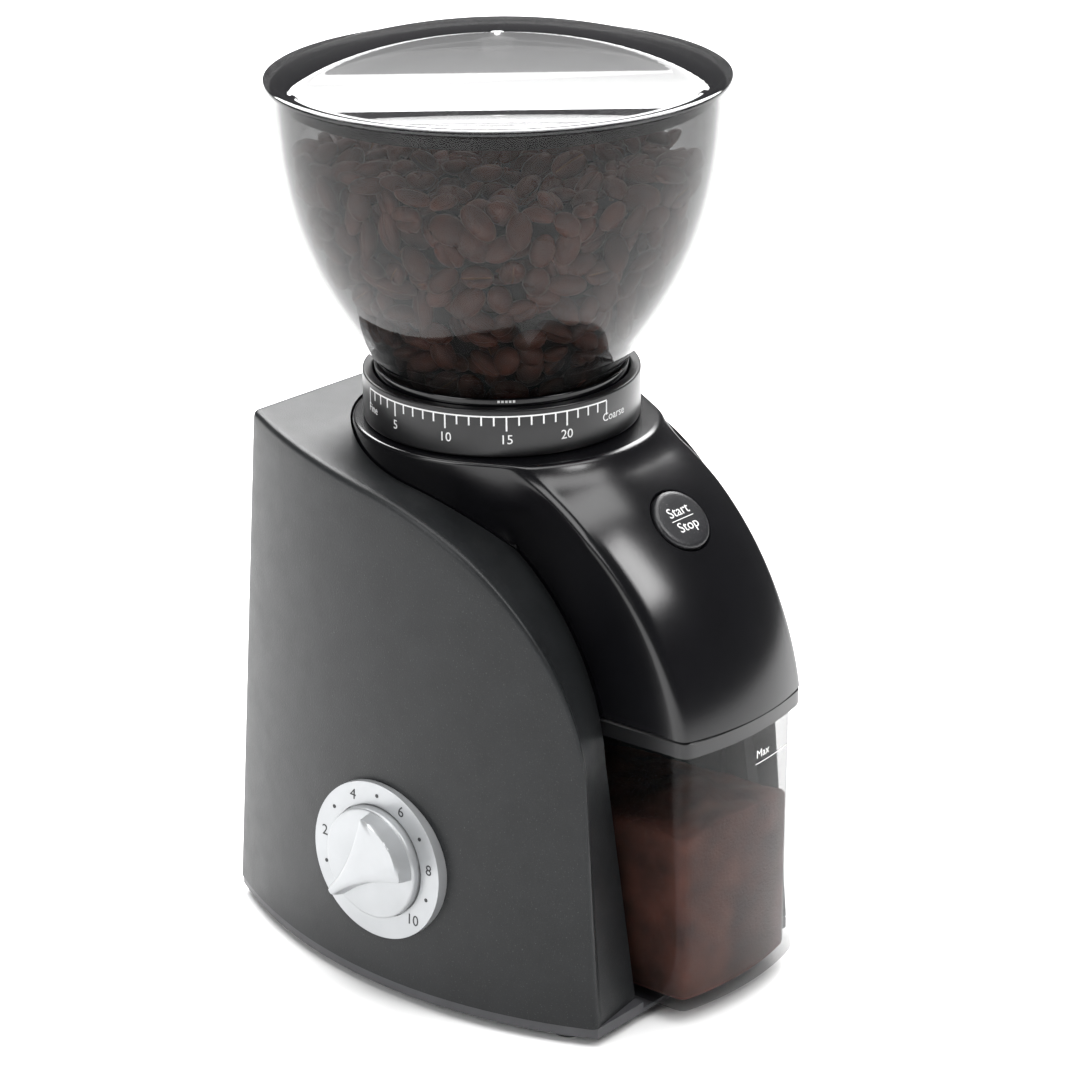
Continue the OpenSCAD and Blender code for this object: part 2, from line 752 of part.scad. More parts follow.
module impeller() color([0.1, 0.1, 0.11]) {
    vane_r = chamber_bore_r - 1;
    difference() {
        union() {
            translate([0, 0, impeller_z]) cylinder(h = impeller_t, r = ring_burr_r);
            for (a = [0:90:270]) rotate([0, 0, a])
                translate([cone_burr_r + 1, -1.2, impeller_z]) cube([vane_r - cone_burr_r - 1, 2.4, vane_h]);
        }
        cylinder(h = far, r = shaft_r);
    }
}

module cone_burr() color([0.55, 0.55, 0.57]) {
    difference() {
        translate([0, 0, cone_z]) cylinder(h = cone_h, r1 = cone_burr_r, r2 = cone_top_r);
        cylinder(h = far, r = shaft_r);
        for (k = [0:cone_teeth - 1]) rotate([0, 0, k * 360 / cone_teeth])
            translate([cone_burr_r + 1.2, 0, cone_z - 1]) rotate([12, -21, 0]) cylinder(h = 30, r = 3);
    }
}

module burr_bolt() color([0.7, 0.7, 0.72]) {
    translate([0, 0, cone_z + cone_h - 10]) cylinder(h = 10.5, r = bolt_r);
    translate([0, 0, cone_z + cone_h]) cylinder(h = 1, r = 8);
    translate([0, 0, cone_z + cone_h + 1]) cylinder(h = 4, r = 5.5, $fn = 6);
}

module ring_burr() color([0.55, 0.55, 0.57]) {
    cone_slope = (cone_burr_r - cone_top_r) / cone_h;
    low_r = cone_burr_r - cone_slope * (ring_z - cone_z) + burr_gap;
    high_r = low_r - cone_slope * ring_h + 3;
    difference() {
        translate([0, 0, ring_z]) cylinder(h = ring_h, r = ring_burr_r);
        translate([0, 0, ring_z - 0.01]) cylinder(h = ring_h + 0.02, r1 = low_r, r2 = high_r);
        for (k = [0:11]) rotate([0, 0, k * 30 + 5])
            translate([high_r + 1.5, 0, ring_z + 4]) cylinder(h = ring_h, r = 1.8);
    }
}

module burr_carrier() color([0.12, 0.12, 0.13]) {
    difference() {
        translate([0, 0, ring_z]) cylinder(h = carrier_top_z - ring_z, r = carrier_r);
        translate([0, 0, ring_z - 1]) cylinder(h = ring_h + 1, r = ring_burr_r);
        cylinder(h = far, r = ring_burr_r - 3.5);
    }
}

module burr_gasket() color([0.75, 0.72, 0.66]) {
    translate([0, 0, carrier_top_z]) difference() {
        cylinder(h = gasket_t, r = carrier_r - 1.5);
        translate([0, 0, -1]) cylinder(h = gasket_t + 2, r = ring_burr_r - 2.5);
    }
}

// ---- Adjusting collar, scale ring, hopper and lid ----

module adjust_collar() color([0.03, 0.03, 0.04]) {
    bore_r = neck_r + hand_gap;
    skirt_bore_r = chamber_r + hand_gap;
    rotate_extrude()
        polygon([
            [skirt_bore_r, adjust_skirt_z], [collar_turn_r, adjust_skirt_z], [collar_turn_r, scale_z + 1],
            [adjust_r, scale_z + 1], [adjust_r, adjust_top_z], [adjust_r - 0.8, adjust_top_z],
            [bore_r, bowl_z - 2.5], [bore_r, adjust_z], [skirt_bore_r, adjust_z]
        ]);
    rotate([0, 0, setting_dir]) translate([adjust_r - 0.7, -1.5, adjust_top_z - 0.5]) cube([0.7, 3, 1]);
}

module scale_ring() color([0.07, 0.07, 0.08]) {
    rotate_extrude()
        polygon([
            [scale_bore_r, scale_z], [scale_r, scale_z], [scale_r, scale_top_z - 0.8],
            [scale_r - 0.8, scale_top_z], [scale_bore_r, scale_top_z]
        ]);
    translate([0, 0, collar_top_z]) difference() {
        cylinder(h = scale_z - collar_top_z + 0.5, r = scale_r - 1);
        translate([0, 0, -1]) cylinder(h = 3, r = scale_bore_r);
    }
}

// Radius of the bowl at a fraction of its height: flared above the neck, upright at the rim
function bowl_radius(u) =
    neck_r + (hopper_r - neck_r) * (1 - pow(1 - u, 2.4 - 0.5 * pow(1 - u, 4)));

module hopper() color([0.35, 0.35, 0.37, 0.35]) {
    floor_drop = 6;
    outer = [for (i = [0:bowl_steps]) let(u = i / bowl_steps) [bowl_radius(u), bowl_z + bowl_h * u]];
    inner = [for (i = [bowl_steps:-1:0]) let(u = i / bowl_steps)
        [bowl_radius(u) - hopper_wall, bowl_z + bowl_h * u + (u < 1 ? 0.6 * (1 - u) : 0)]];
    rotate_extrude()
        polygon(concat(
            [[throat_r, neck_z], [neck_r, neck_z]],
            outer,
            inner,
            [[neck_r - hopper_wall, neck_z + floor_drop + 3], [throat_r, neck_z + hopper_wall]]
        ));
}

// Spherical cap of the lid above height low, drawn in by an inset and cut off at radius reach
module lid_cap(inset, reach, low) {
    intersection() {
        translate([0, 0, dome_z + lid_rise - dome_sphere_r]) sphere(r = dome_sphere_r - inset, $fn = 240);
        translate([0, 0, low]) cylinder(h = far, r = reach);
    }
}

// The scoop's cylinder, grown by a margin and kept inside the lid's rim
module lid_scoop(grow) {
    intersection() {
        rotate([0, 0, scoop_dir]) translate([scoop_x, 0, scoop_z]) rotate([90, 0, 0])
            cylinder(h = 200, r = scoop_r + grow, center = true, $fn = 240);
        translate([0, 0, lid_z - plug_h - 2]) cylinder(h = far, r = dome_r - 0.8 + grow);
    }
}

module hopper_lid() color([0.25, 0.25, 0.27, 0.5]) {
    difference() {
        union() {
            translate([0, 0, lid_z]) cylinder(h = flange_t, r = lid_r);
            lid_cap(0, dome_r, lid_z);
            translate([0, 0, lid_z - plug_h]) cylinder(h = plug_h + 0.5, r = plug_r);
        }
        lid_scoop(0);
        difference() {
            lid_cap(lid_t, plug_r - lid_t, lid_z - plug_h - 1);
            lid_scoop(lid_t);
        }
    }
}

// ---- Start button ----

module start_button() color([0.1, 0.1, 0.11]) {
    button_frame() {
        translate([0, 0, button_flange_top - 0.5])
            cylinder(h = button_top - button_flange_top + 0.5, r = button_r);
        translate([0, 0, button_flange_top - button_flange_t])
            cylinder(h = button_flange_t, r = button_flange_r);
        translate([0, 0, stem_foot]) cylinder(h = button_flange_top - stem_foot, r = stem_r);
    }
}

// A point on the spring's coil at turn fraction u, and one of the wire's own round
function coil_point(u, v, turns, coil_r, wire_r, length) =
    let(a = 360 * turns * u, r = coil_r + wire_r * cos(v))
    [r * cos(a), r * sin(a), length * u + wire_r * sin(v)];

module button_spring() color([0.8, 0.8, 0.82]) {
    turns = 4;
    wire_r = 0.35;
    coil_r = stem_r + 1.6;
    low = guide_foot + wire_r + 0.02;
    length = button_flange_top - button_flange_t - guide_foot - 2 * wire_r - 0.04;
    steps = 56;
    round = 6;
    points = [for (i = [0:steps], j = [0:round - 1])
        coil_point(i / steps, j * 360 / round, turns, coil_r, wire_r, length)];
    sides = [for (i = [0:steps - 1], j = [0:round - 1])
        let(a = i * round + j, b = i * round + (j + 1) % round)
        each [[a, b, b + round], [a, b + round, a + round]]];
    first_cap = [for (j = [round - 1:-1:0]) j];
    last_cap = [for (j = [0:round - 1]) steps * round + j];
    button_frame() translate([0, 0, low]) polyhedron(points, concat(sides, [first_cap, last_cap]));
}

// A push switch on a round board that closes the guide's foot, with its connector at the front
module button_switch() color([0.16, 0.16, 0.17]) {
    pin_foot = guide_foot - 0.1;
    board_r = guide_bore_r + guide_wall;
    button_frame() {
        translate([0, 0, guide_foot - switch_t]) cylinder(h = switch_t, r = board_r);
        translate([-5, 0.4 - board_r, guide_foot - switch_t - 6]) cube([10, 5.5, 6.1]);
        translate([0, 0, pin_foot]) cylinder(h = stem_foot - button_travel - 0.6 - pin_foot, r = 1.2);
    }
}

// Interlock under the hood's collar, with its plunger facing the adjusting collar
module hopper_switch() color([0.16, 0.16, 0.17]) {
    body_h = 8;
    body_z = collar_top_z - 3 - body_h;
    body_y = collar_turn_r + hand_gap + 1;
    translate([-6, body_y, body_z]) cube([12, collar_r - hood_wall - 0.9 - body_y, body_h]);
    translate([-2, collar_turn_r + hand_gap, body_z + 2]) cube([4, 1, 3]);
}

// ---- Timer dial ----

module timer_bezel() color([0.75, 0.75, 0.77]) {
    difference() {
        dial_frame() translate([0, 0, bezel_back_z]) cylinder(h = bezel_t - bezel_back_z, r = bezel_r);
        dial_frame() translate([0, 0, bezel_floor_z]) cylinder(h = 5, r = bezel_bore_r);
        dial_frame() translate([0, 0, -far / 2]) cylinder(h = far, r = spindle_r + 1.4);
        bezel_seat();
    }
}

// The curved side panel round the dial's hole, which the bezel's back is cut to
module bezel_seat() {
    difference() {
        side_cone(0, side_arc_x);
        dial_frame() translate([0, 0, -20]) cylinder(h = 40, r = dial_hole_r);
    }
}

module timer_knob() color([0.78, 0.78, 0.8]) {
    dial_frame() {
        difference() {
            union() {
                translate([0, 0, bezel_floor_z + hand_gap])
                    cylinder(h = bezel_t + knob_base_t - bezel_floor_z - hand_gap, r = knob_r);
                translate([0, 0, bezel_t + knob_base_t]) linear_extrude(knob_ridge_h) knob_ridge();
            }
            cylinder(h = bezel_t + knob_base_t + 2, r = spindle_r);
        }
    }
}

// Outline of the knob's grip: a narrow pointer at one end and a broad fan at the other
module knob_ridge() {
    rotate([0, 0, 135]) difference() {
        intersection() {
            circle(r = knob_r - 0.4);
            polygon([
                [knob_r, -1.6], [knob_r, 1.6], [-2, 6.5], [-knob_r, 13], [-knob_r, -13], [-2, -6.5]
            ]);
        }
        for (side = [-1, 1]) translate([1.5, side * 27]) circle(r = 21.5);
    }
}

module timer_spindle() color([0.7, 0.7, 0.72]) {
    dial_frame() translate([0, 0, -12]) cylinder(h = 12 + bezel_t + knob_base_t + 1.5, r = spindle_r);
}

module timer_switch() color([0.2, 0.2, 0.22]) {
    dial_frame() difference() {
        union() {
            translate([-13, -13, -24]) cube([26, 26, 16]);
            translate([0, 0, -8.5]) cylinder(h = 8.5 + bezel_back_z, r = spindle_r + 4);
        }
        translate([0, 0, -14]) cylinder(h = 30, r = spindle_r + running_gap);
    }
}

// ---- Electrics ----

function board_posts() = [for (px = [4, board_w - 4], py = [4, board_l - 4]) [-board_x - px, board_y + py]];

module circuit_board() color([0.1, 0.35, 0.16]) {
    mirror([1, 0, 0]) translate([board_x, board_y, board_z]) {
        cube([board_w, board_l, board_t]);
        translate([8, 8, board_t]) cube([12, 15, 12]);
        translate([9, 32, board_t]) cylinder(h = 16, r = 5);
        translate([16, 30, board_t]) cube([5, 8, 7]);
    }
}

module cord_bushing() color([0.05, 0.05, 0.05]) {
    cord_frame() difference() {
        union() {
            cylinder(h = bushing_flange_t, r = bushing_flange_r);
            translate([0, 0, -shell_wall - bushing_tail])
                cylinder(h = shell_wall + bushing_tail + 1, r = bushing_r);
        }
        translate([0, 0, -20]) cylinder(h = 40, r = cord_bore_r);
    }
}

// ---- Grounds bin ----

module grounds_bin() color([0.4, 0.4, 0.42, 0.4]) {
    difference() {
        translate([0, 0, bin_base_z]) linear_extrude(bin_h) bin_outline(0);
        translate([0, 0, bin_base_z + 2.5]) linear_extrude(bin_h) bin_outline(bin_wall);
    }
}

module bin_rim() color([0.05, 0.05, 0.06]) {
    difference() {
        translate([0, 0, bin_top_z]) linear_extrude(bin_rim_h) bin_outline(-0.2);
        translate([0, 0, bin_top_z - 1]) linear_extrude(bin_rim_h + 2) bin_outline(bin_wall + 0.8);
    }
}

base_plate();
rubber_feet();
base_screws();
left_side_shell();
right_side_shell();
front_hood();
inner_frame();
motor_case();
motor_end_cap();
motor_magnets();
motor_screws();
motor_rotor();
motor_pinion();
idler_pin();
idler_gear();
output_gear();
burr_shaft();
shaft_bushes();
gearbox_cover();
grind_chamber();
exit_chute();
impeller();
cone_burr();
burr_bolt();
ring_burr();
burr_carrier();
burr_gasket();
adjust_collar();
scale_ring();
hopper();
hopper_lid();
start_button();
button_spring();
button_switch();
hopper_switch();
timer_bezel();
timer_knob();
timer_spindle();
timer_switch();
circuit_board();
cord_bushing();
grounds_bin();
bin_rim();
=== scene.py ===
"""Looks of a burr coffee grinder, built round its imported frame. Lengths in the shape code are in
millimetres, in the frame's axes, and new_piece() turns them into metres."""

import json
import math
import random

import bmesh
import bpy
import numpy as np
from mathutils import Matrix, Vector


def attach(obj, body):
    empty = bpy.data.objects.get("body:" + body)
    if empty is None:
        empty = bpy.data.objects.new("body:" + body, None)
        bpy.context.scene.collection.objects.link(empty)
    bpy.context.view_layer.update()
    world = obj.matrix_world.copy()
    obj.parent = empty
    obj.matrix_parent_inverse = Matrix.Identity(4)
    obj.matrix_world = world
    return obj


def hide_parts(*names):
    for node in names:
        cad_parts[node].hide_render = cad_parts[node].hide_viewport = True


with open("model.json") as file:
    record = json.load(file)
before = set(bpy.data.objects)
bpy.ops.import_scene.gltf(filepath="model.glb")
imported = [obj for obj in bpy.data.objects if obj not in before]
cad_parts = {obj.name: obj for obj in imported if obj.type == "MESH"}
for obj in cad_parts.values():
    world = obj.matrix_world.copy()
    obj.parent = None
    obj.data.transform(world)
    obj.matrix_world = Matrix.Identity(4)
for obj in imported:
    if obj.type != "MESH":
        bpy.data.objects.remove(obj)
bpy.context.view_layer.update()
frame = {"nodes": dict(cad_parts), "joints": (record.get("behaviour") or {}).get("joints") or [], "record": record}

RECORD = frame["record"]
JOINTS = {joint["name"]: joint for joint in frame["joints"]}
MM = 0.001

# Driving sizes of the casing, the same as in the design
SIDE_R, SIDE_Y, SIDE_SLOPE, SIDE_FOOT = 160.0, -5.0, 9.5 / 157.5, 2.5
LEFT_HALF, RIGHT_HALF = 73.0, 59.0
SHELL_TOP, SHELL_FOOT, SHELL_WALL = 165.0, 6.0, 2.3
REAR_Y, REAR_LEAN = 65.0, 9.0
CREASE_Y, CREASE_Z, CREASE_R, CREASE_X, LEAN = 5.0, 75.0, 84.5, 56.0, 11.0
HOOD_Y, HOOD_Z, HOOD_R, HOOD_HALF, HOOD_BULGE = -5.0, 77.3, 96.0, 26.3, 4.5
HOOD_FOOT, COLLAR_R, COLLAR_TOP = 93.5, 45.0, 164.2
SHELL_IN = 30.6
BOWL_Z, BOWL_TOP, NECK_R, RIM_R, BOWL_WALL = 176.0, 265.3, 33.2, 65.5, 2.2
LID_Z, FLANGE_T, LID_RISE, LID_R = 265.6, 1.6, 11.5, 67.5
SCALE_Z, SCALE_TOP, SCALE_R, ADJUST_R = 164.5, 179.0, 41.6, 38.0


# ---- Small tools ----

def smooth(k):
    k = min(1.0, max(0.0, k))
    return k * k * (3 - 2 * k)


def new_piece(name, points, faces, sharp=35):
    """A mesh object from points in millimetres, shaded smooth except past the sharp angle."""
    mesh = bpy.data.meshes.new(name)
    mesh.from_pydata([tuple(c * MM for c in p) for p in points], [], faces)
    mesh.validate()
    build = bmesh.new()
    build.from_mesh(mesh)
    bmesh.ops.remove_doubles(build, verts=build.verts, dist=1e-6)
    bmesh.ops.recalc_face_normals(build, faces=build.faces)
    build.to_mesh(mesh)
    build.free()
    shade(mesh, sharp)
    piece = bpy.data.objects.new(name, mesh)
    bpy.context.scene.collection.objects.link(piece)
    return piece


def shade(mesh, sharp=35):
    mesh.polygons.foreach_set("use_smooth", [True] * len(mesh.polygons))
    mesh.set_sharp_from_angle(angle=math.radians(sharp))
    mesh.update()


def lathe_shape(profile, segments, place=Matrix()):
    """Points and faces of a closed profile of (radius, height) turned round Z, then placed."""
    count = len(profile)
    points = []
    for i in range(segments):
        a = 2 * math.pi * i / segments
        for r, z in profile:
            points.append(tuple(place @ Vector((r * math.cos(a), r * math.sin(a), z))))
    faces = []
    for i in range(segments):
        for j in range(count):
            k, m = (i + 1) % segments, (j + 1) % count
            faces.append((i * count + j, k * count + j, k * count + m, i * count + m))
    return points, faces


def lathe(name, profile, segments=160, place=Matrix(), sharp=35):
    points, faces = lathe_shape(profile, segments, place)
    return new_piece(name, points, faces, sharp)


def rounded(corners, radius, steps=4):
    """A closed outline with each corner rounded by a short curve."""
    out = []
    count = len(corners)
    for i, corner in enumerate(corners):
        here = Vector(corner)
        before, after = Vector(corners[i - 1]), Vector(corners[(i + 1) % count])
        reach = min(radius, 0.45 * (before - here).length, 0.45 * (after - here).length)
        start = here + (before - here).normalized() * reach
        end = here + (after - here).normalized() * reach
        for k in range(steps + 1):
            u = k / steps
            out.append(tuple((1 - u) ** 2 * start + 2 * u * (1 - u) * here + u * u * end))
    return out


def join(name, shapes, sharp=35):
    """One piece from several (points, faces) shapes."""
    points, faces = [], []
    for some_points, some_faces in shapes:
        base = len(points)
        points.extend(some_points)
        faces.extend(tuple(base + k for k in face) for face in some_faces)
    return new_piece(name, points, faces, sharp)


def apply_modifiers(piece, sharp=35):
    depsgraph = bpy.context.evaluated_depsgraph_get()
    mesh = bpy.data.meshes.new_from_object(piece.evaluated_get(depsgraph))
    piece.modifiers.clear()
    piece.data = mesh
    shade(mesh, sharp)


def cut(piece, cutter, sharp=35):
    """Takes the cutter's solid out of the piece, and deletes the cutter."""
    modifier = piece.modifiers.new("cut", "BOOLEAN")
    modifier.operation = "DIFFERENCE"
    modifier.solver = "EXACT"
    modifier.object = cutter
    apply_modifiers(piece, sharp)
    bpy.data.objects.remove(cutter)


def trim_round(piece, place, radius):
    """Cuts a round opening into an open sheet: all within the radius of the placed Z axis goes."""
    back = place.inverted()
    sheet = bmesh.new()
    sheet.from_mesh(piece.data)

    def off_axis(point):
        local = back @ (point / MM)
        return Vector((local.x, local.y)), local.z

    inside = {v: off_axis(v.co)[0].length < radius for v in sheet.verts}
    for edge in [e for e in sheet.edges if inside[e.verts[0]] != inside[e.verts[1]]]:
        start, end = edge.verts
        a, b = off_axis(start.co)[0], off_axis(end.co)[0]
        step = b - a
        half, rest = a.dot(step), a.length_squared - radius ** 2
        root = math.sqrt(half ** 2 - step.length_squared * rest)
        share = min(t for t in ((-half - root) / step.length_squared,
                                (-half + root) / step.length_squared) if t >= -1e-9)
        bmesh.utils.edge_split(edge, start, min(0.999, max(0.001, share)))
    rim = [v for v in sheet.verts if v not in inside]
    marked = set(rim)
    for face in list(sheet.faces):
        ends = [v for v in face.verts if v in marked]
        if len(ends) == 2:
            bmesh.utils.face_split(face, ends[0], ends[1])
    gone = [face for face in sheet.faces
            if off_axis(face.calc_center_median())[0].length < radius
            and abs(off_axis(face.calc_center_median())[1]) < 175]
    bmesh.ops.delete(sheet, geom=gone, context="FACES")
    sheet.to_mesh(piece.data)
    sheet.free()


def thicken(piece, wall, sharp=35):
    modifier = piece.modifiers.new("wall", "SOLIDIFY")
    modifier.thickness = wall * MM
    modifier.offset = -1
    apply_modifiers(piece, sharp)


def panel_x(y, z, half):
    """Half width of the body at a place on a curved side panel that starts half wide."""
    reach = SIDE_R - SIDE_SLOPE * (z - SIDE_FOOT)
    return math.sqrt(reach ** 2 - (y - SIDE_Y) ** 2) - SIDE_R + half


# ---- Materials ----

def node_link(tree, source, target):
    tree.links.new(source, target)


def make_material(name, colour, rough=0.4, metal=0.0, grain=0.0, grain_size=0.4, mottle=0.15,
                  rough_spread=0.06, coat=0.0, coat_rough=0.05, alpha=1.0, specular=0.5,
                  painted_glint=0.0, streak=None):
    """A procedural surface: mottled colour, uneven roughness, fine grain and painted glints (bright dots added to
    the colour).
    """
    material = bpy.data.materials.new(name)
    material.use_nodes = True
    tree = material.node_tree
    shader = tree.nodes["Principled BSDF"]
    shader.inputs["Metallic"].default_value = metal
    shader.inputs["Specular IOR Level"].default_value = specular
    shader.inputs["Coat Weight"].default_value = coat
    shader.inputs["Coat Roughness"].default_value = coat_rough
    shader.inputs["Alpha"].default_value = alpha
    place = tree.nodes.new("ShaderNodeTexCoord")
    stretch = tree.nodes.new("ShaderNodeMapping")
    stretch.inputs["Scale"].default_value = streak or (1, 1, 1)
    node_link(tree, place.outputs["Object"], stretch.inputs["Vector"])

    def noise(scale, detail=3.0):
        texture = tree.nodes.new("ShaderNodeTexNoise")
        texture.inputs["Scale"].default_value = scale
        texture.inputs["Detail"].default_value = detail
        node_link(tree, stretch.outputs["Vector"], texture.inputs["Vector"])
        return texture.outputs["Fac"]

    ramp = tree.nodes.new("ShaderNodeValToRGB")
    ramp.color_ramp.elements[0].position = 0.3
    ramp.color_ramp.elements[1].position = 0.7
    ramp.color_ramp.elements[0].color = (*[c * (1 - mottle) for c in colour], 1)
    ramp.color_ramp.elements[1].color = (*[min(1, c * (1 + mottle)) for c in colour], 1)
    node_link(tree, noise(90), ramp.inputs["Fac"])
    colour_out = ramp.outputs["Color"]
    # Painted glints: bright dots added to the base colour, standing in for glints of light on a textured surface.
    if painted_glint:
        glint_specks = tree.nodes.new("ShaderNodeValToRGB")
        glint_specks.color_ramp.elements[0].position = 0.66
        glint_specks.color_ramp.elements[1].position = 0.78
        glint_specks.color_ramp.elements[0].color = (0, 0, 0, 1)
        glint_specks.color_ramp.elements[1].color = (painted_glint, painted_glint, painted_glint, 1)
        node_link(tree, noise(2600, 1.0), glint_specks.inputs["Fac"])
        add = tree.nodes.new("ShaderNodeMix")
        add.data_type = "RGBA"
        add.blend_type = "ADD"
        add.inputs["Factor"].default_value = 1.0
        node_link(tree, colour_out, add.inputs["A"])
        node_link(tree, glint_specks.outputs["Color"], add.inputs["B"])
        colour_out = add.outputs["Result"]
    node_link(tree, colour_out, shader.inputs["Base Color"])
    spread = tree.nodes.new("ShaderNodeMapRange")
    spread.inputs["To Min"].default_value = max(0.0, rough - rough_spread)
    spread.inputs["To Max"].default_value = rough + rough_spread
    node_link(tree, noise(160), spread.inputs["Value"])
    node_link(tree, spread.outputs["Result"], shader.inputs["Roughness"])
    if grain:
        bump = tree.nodes.new("ShaderNodeBump")
        bump.inputs["Strength"].default_value = grain
        bump.inputs["Distance"].default_value = 0.0002
        node_link(tree, noise(1000 / grain_size, 2.0), bump.inputs["Height"])
        node_link(tree, bump.outputs["Normal"], shader.inputs["Normal"])
    return material


def smoked(name, colour, low, high, rough=0.04):
    """Clear smoked plastic: more see-through face on than at a glancing angle."""
    material = make_material(name, colour, rough=rough, rough_spread=0.015, mottle=0.1)
    tree = material.node_tree
    weight = tree.nodes.new("ShaderNodeLayerWeight")
    weight.inputs["Blend"].default_value = 0.35
    spread = tree.nodes.new("ShaderNodeMapRange")
    spread.inputs["To Min"].default_value = low
    spread.inputs["To Max"].default_value = high
    node_link(tree, weight.outputs["Facing"], spread.inputs["Value"])
    node_link(tree, spread.outputs["Result"], tree.nodes["Principled BSDF"].inputs["Alpha"])
    return material


# Black textured plastic with a little painted glint in its colour.
SHELL = make_material("shell_plastic", (0.011, 0.012, 0.013), rough=0.4, grain=0.3,
                      grain_size=0.45, painted_glint=0.03, specular=0.3)
HOOD = make_material("hood_gloss", (0.003, 0.003, 0.004), rough=0.2, rough_spread=0.02,
                     grain=0.03, grain_size=1.2, specular=0.5)
SATIN = make_material("satin_black", (0.008, 0.008, 0.009), rough=0.33, grain=0.12, grain_size=0.4)
GLOSS_RING = make_material("gloss_black_ring", (0.003, 0.003, 0.004), rough=0.1, rough_spread=0.02)
# The button carries the strongest painted glint, bright dots in its colour.
BUTTON = make_material("button_plastic", (0.010, 0.010, 0.012), rough=0.38, grain=0.4,
                       grain_size=0.4, painted_glint=0.12)
SILVER = make_material("silver_paint", (0.40, 0.41, 0.42), rough=0.36, metal=0.5, mottle=0.04,
                       grain=0.06, grain_size=0.3)
PRINT = make_material("white_print", (0.82, 0.82, 0.82), rough=0.5, mottle=0.05)
DARK_PRINT = make_material("dark_print", (0.02, 0.02, 0.022), rough=0.5, mottle=0.2)
BOWL = smoked("smoked_bowl", (0.010, 0.010, 0.010), 0.30, 0.95)
LID = smoked("smoked_lid", (0.006, 0.006, 0.007), 0.70, 0.97, rough=0.04)
BIN = smoked("smoked_bin", (0.008, 0.008, 0.008), 0.10, 0.6)
BEAN = make_material("roasted_bean", (0.17, 0.048, 0.026), rough=0.3, rough_spread=0.12,
                     mottle=0.5, grain=0.35, grain_size=0.9, specular=0.6)
BEAN_CREASE = make_material("bean_crease", (0.42, 0.20, 0.10), rough=0.6, mottle=0.4)
# Painted shade: near-black colour for the solid inside the bean heap, standing in for the shadow between beans.
BEAN_SHADE_CORE = make_material("bean_shadow", (0.012, 0.005, 0.003), rough=0.8, mottle=0.5)
# Coffee grounds with painted glints, bright dots in their colour.
GROUNDS = make_material("ground_coffee", (0.085, 0.026, 0.016), rough=0.85, mottle=0.5,
                        grain=1.0, grain_size=0.9, painted_glint=0.08)


# ---- CAD nodes that stay, each in its slot's material ----

METALS = ("brushed_steel", "chrome", "aluminium", "cast_iron", "brass", "painted_metal")


def slot_material(entry):
    colour = tuple(entry["base_color"][:3])
    kind = entry["class"]
    if kind in METALS:
        return make_material("slot_" + entry["slot"], colour, rough=0.3, metal=0.9, grain=0.08,
                             grain_size=0.5, streak=(1, 1, 6))
    if kind in ("rubber", "tyre"):
        return make_material("slot_" + entry["slot"], colour, rough=0.75, grain=0.3)
    return make_material("slot_" + entry["slot"], colour, rough=0.42, grain=0.15)


def dress_cad_nodes():
    slots = {entry["slot"]: slot_material(entry) for entry in RECORD["materials"]}
    for part in RECORD["subparts"]:
        mesh = frame["nodes"][part["node"]].data
        mesh.materials.clear()
        mesh.materials.append(slots[part["material_slot"]])


def finish_piece(piece, body, slot, material, *nodes):
    """Gives a piece its material and body, and hides the CAD nodes that it stands for. The slot is not used."""
    if not piece.data.materials:
        piece.data.materials.append(material)
    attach(piece, body)
    if nodes:
        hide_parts(*nodes)


SLOT_OF = {part["node"]: part["material_slot"] for part in RECORD["subparts"]}


# ---- Side shells ----

def shell_outline():
    """Points up the rear wall, over the top and down the front, each with its inward lean."""
    rear_top = REAR_Y - REAR_LEAN
    flat_t = math.radians(6)
    flat_y, flat_z = CREASE_Y - CREASE_R * math.sin(flat_t), CREASE_Z + CREASE_R * math.cos(flat_t)
    corner = 3.0
    out = []
    for i in range(13):
        z = SHELL_FOOT + (SHELL_TOP - corner - SHELL_FOOT) * i / 12
        out.append((REAR_Y - REAR_LEAN * z / SHELL_TOP, z, 0.0, 0.0))
    for i in range(1, 6):
        u = i / 6
        y = (1 - u) ** 2 * (rear_top + 0.16) + 2 * u * (1 - u) * rear_top + u * u * (rear_top - corner)
        z = (1 - u) ** 2 * (SHELL_TOP - corner) + 2 * u * (1 - u) * SHELL_TOP + u * u * SHELL_TOP
        out.append((y, z, 0.0, 0.0))
    for i in range(24):
        u = (corner / (rear_top - flat_y)) + (1 - corner / (rear_top - flat_y)) * i / 24
        drop = LEAN * smooth((u - 0.35) / 0.65)
        z = SHELL_TOP + (flat_z - SHELL_TOP) * u + 2.4 * u * (1 - u)
        out.append((rear_top + (flat_y - rear_top) * u, z, 0.0, -drop))
    for i in range(73):
        t = math.radians(6 + 80 * i / 72)
        out.append((CREASE_Y - CREASE_R * math.sin(t), CREASE_Z + CREASE_R * math.cos(t),
                    LEAN * math.sin(t), -LEAN * math.cos(t)))
    y0, z0, lean_y, lean_z = out[-1]
    for i in range(1, 21):
        u = i / 20
        z = z0 + (SHELL_FOOT - z0) * u
        y = y0 + (-84.6 - y0) * (z0 - z) / z0
        out.append((y, z, lean_y + (4 - lean_y) * u, lean_z * (1 - u)))
    return out


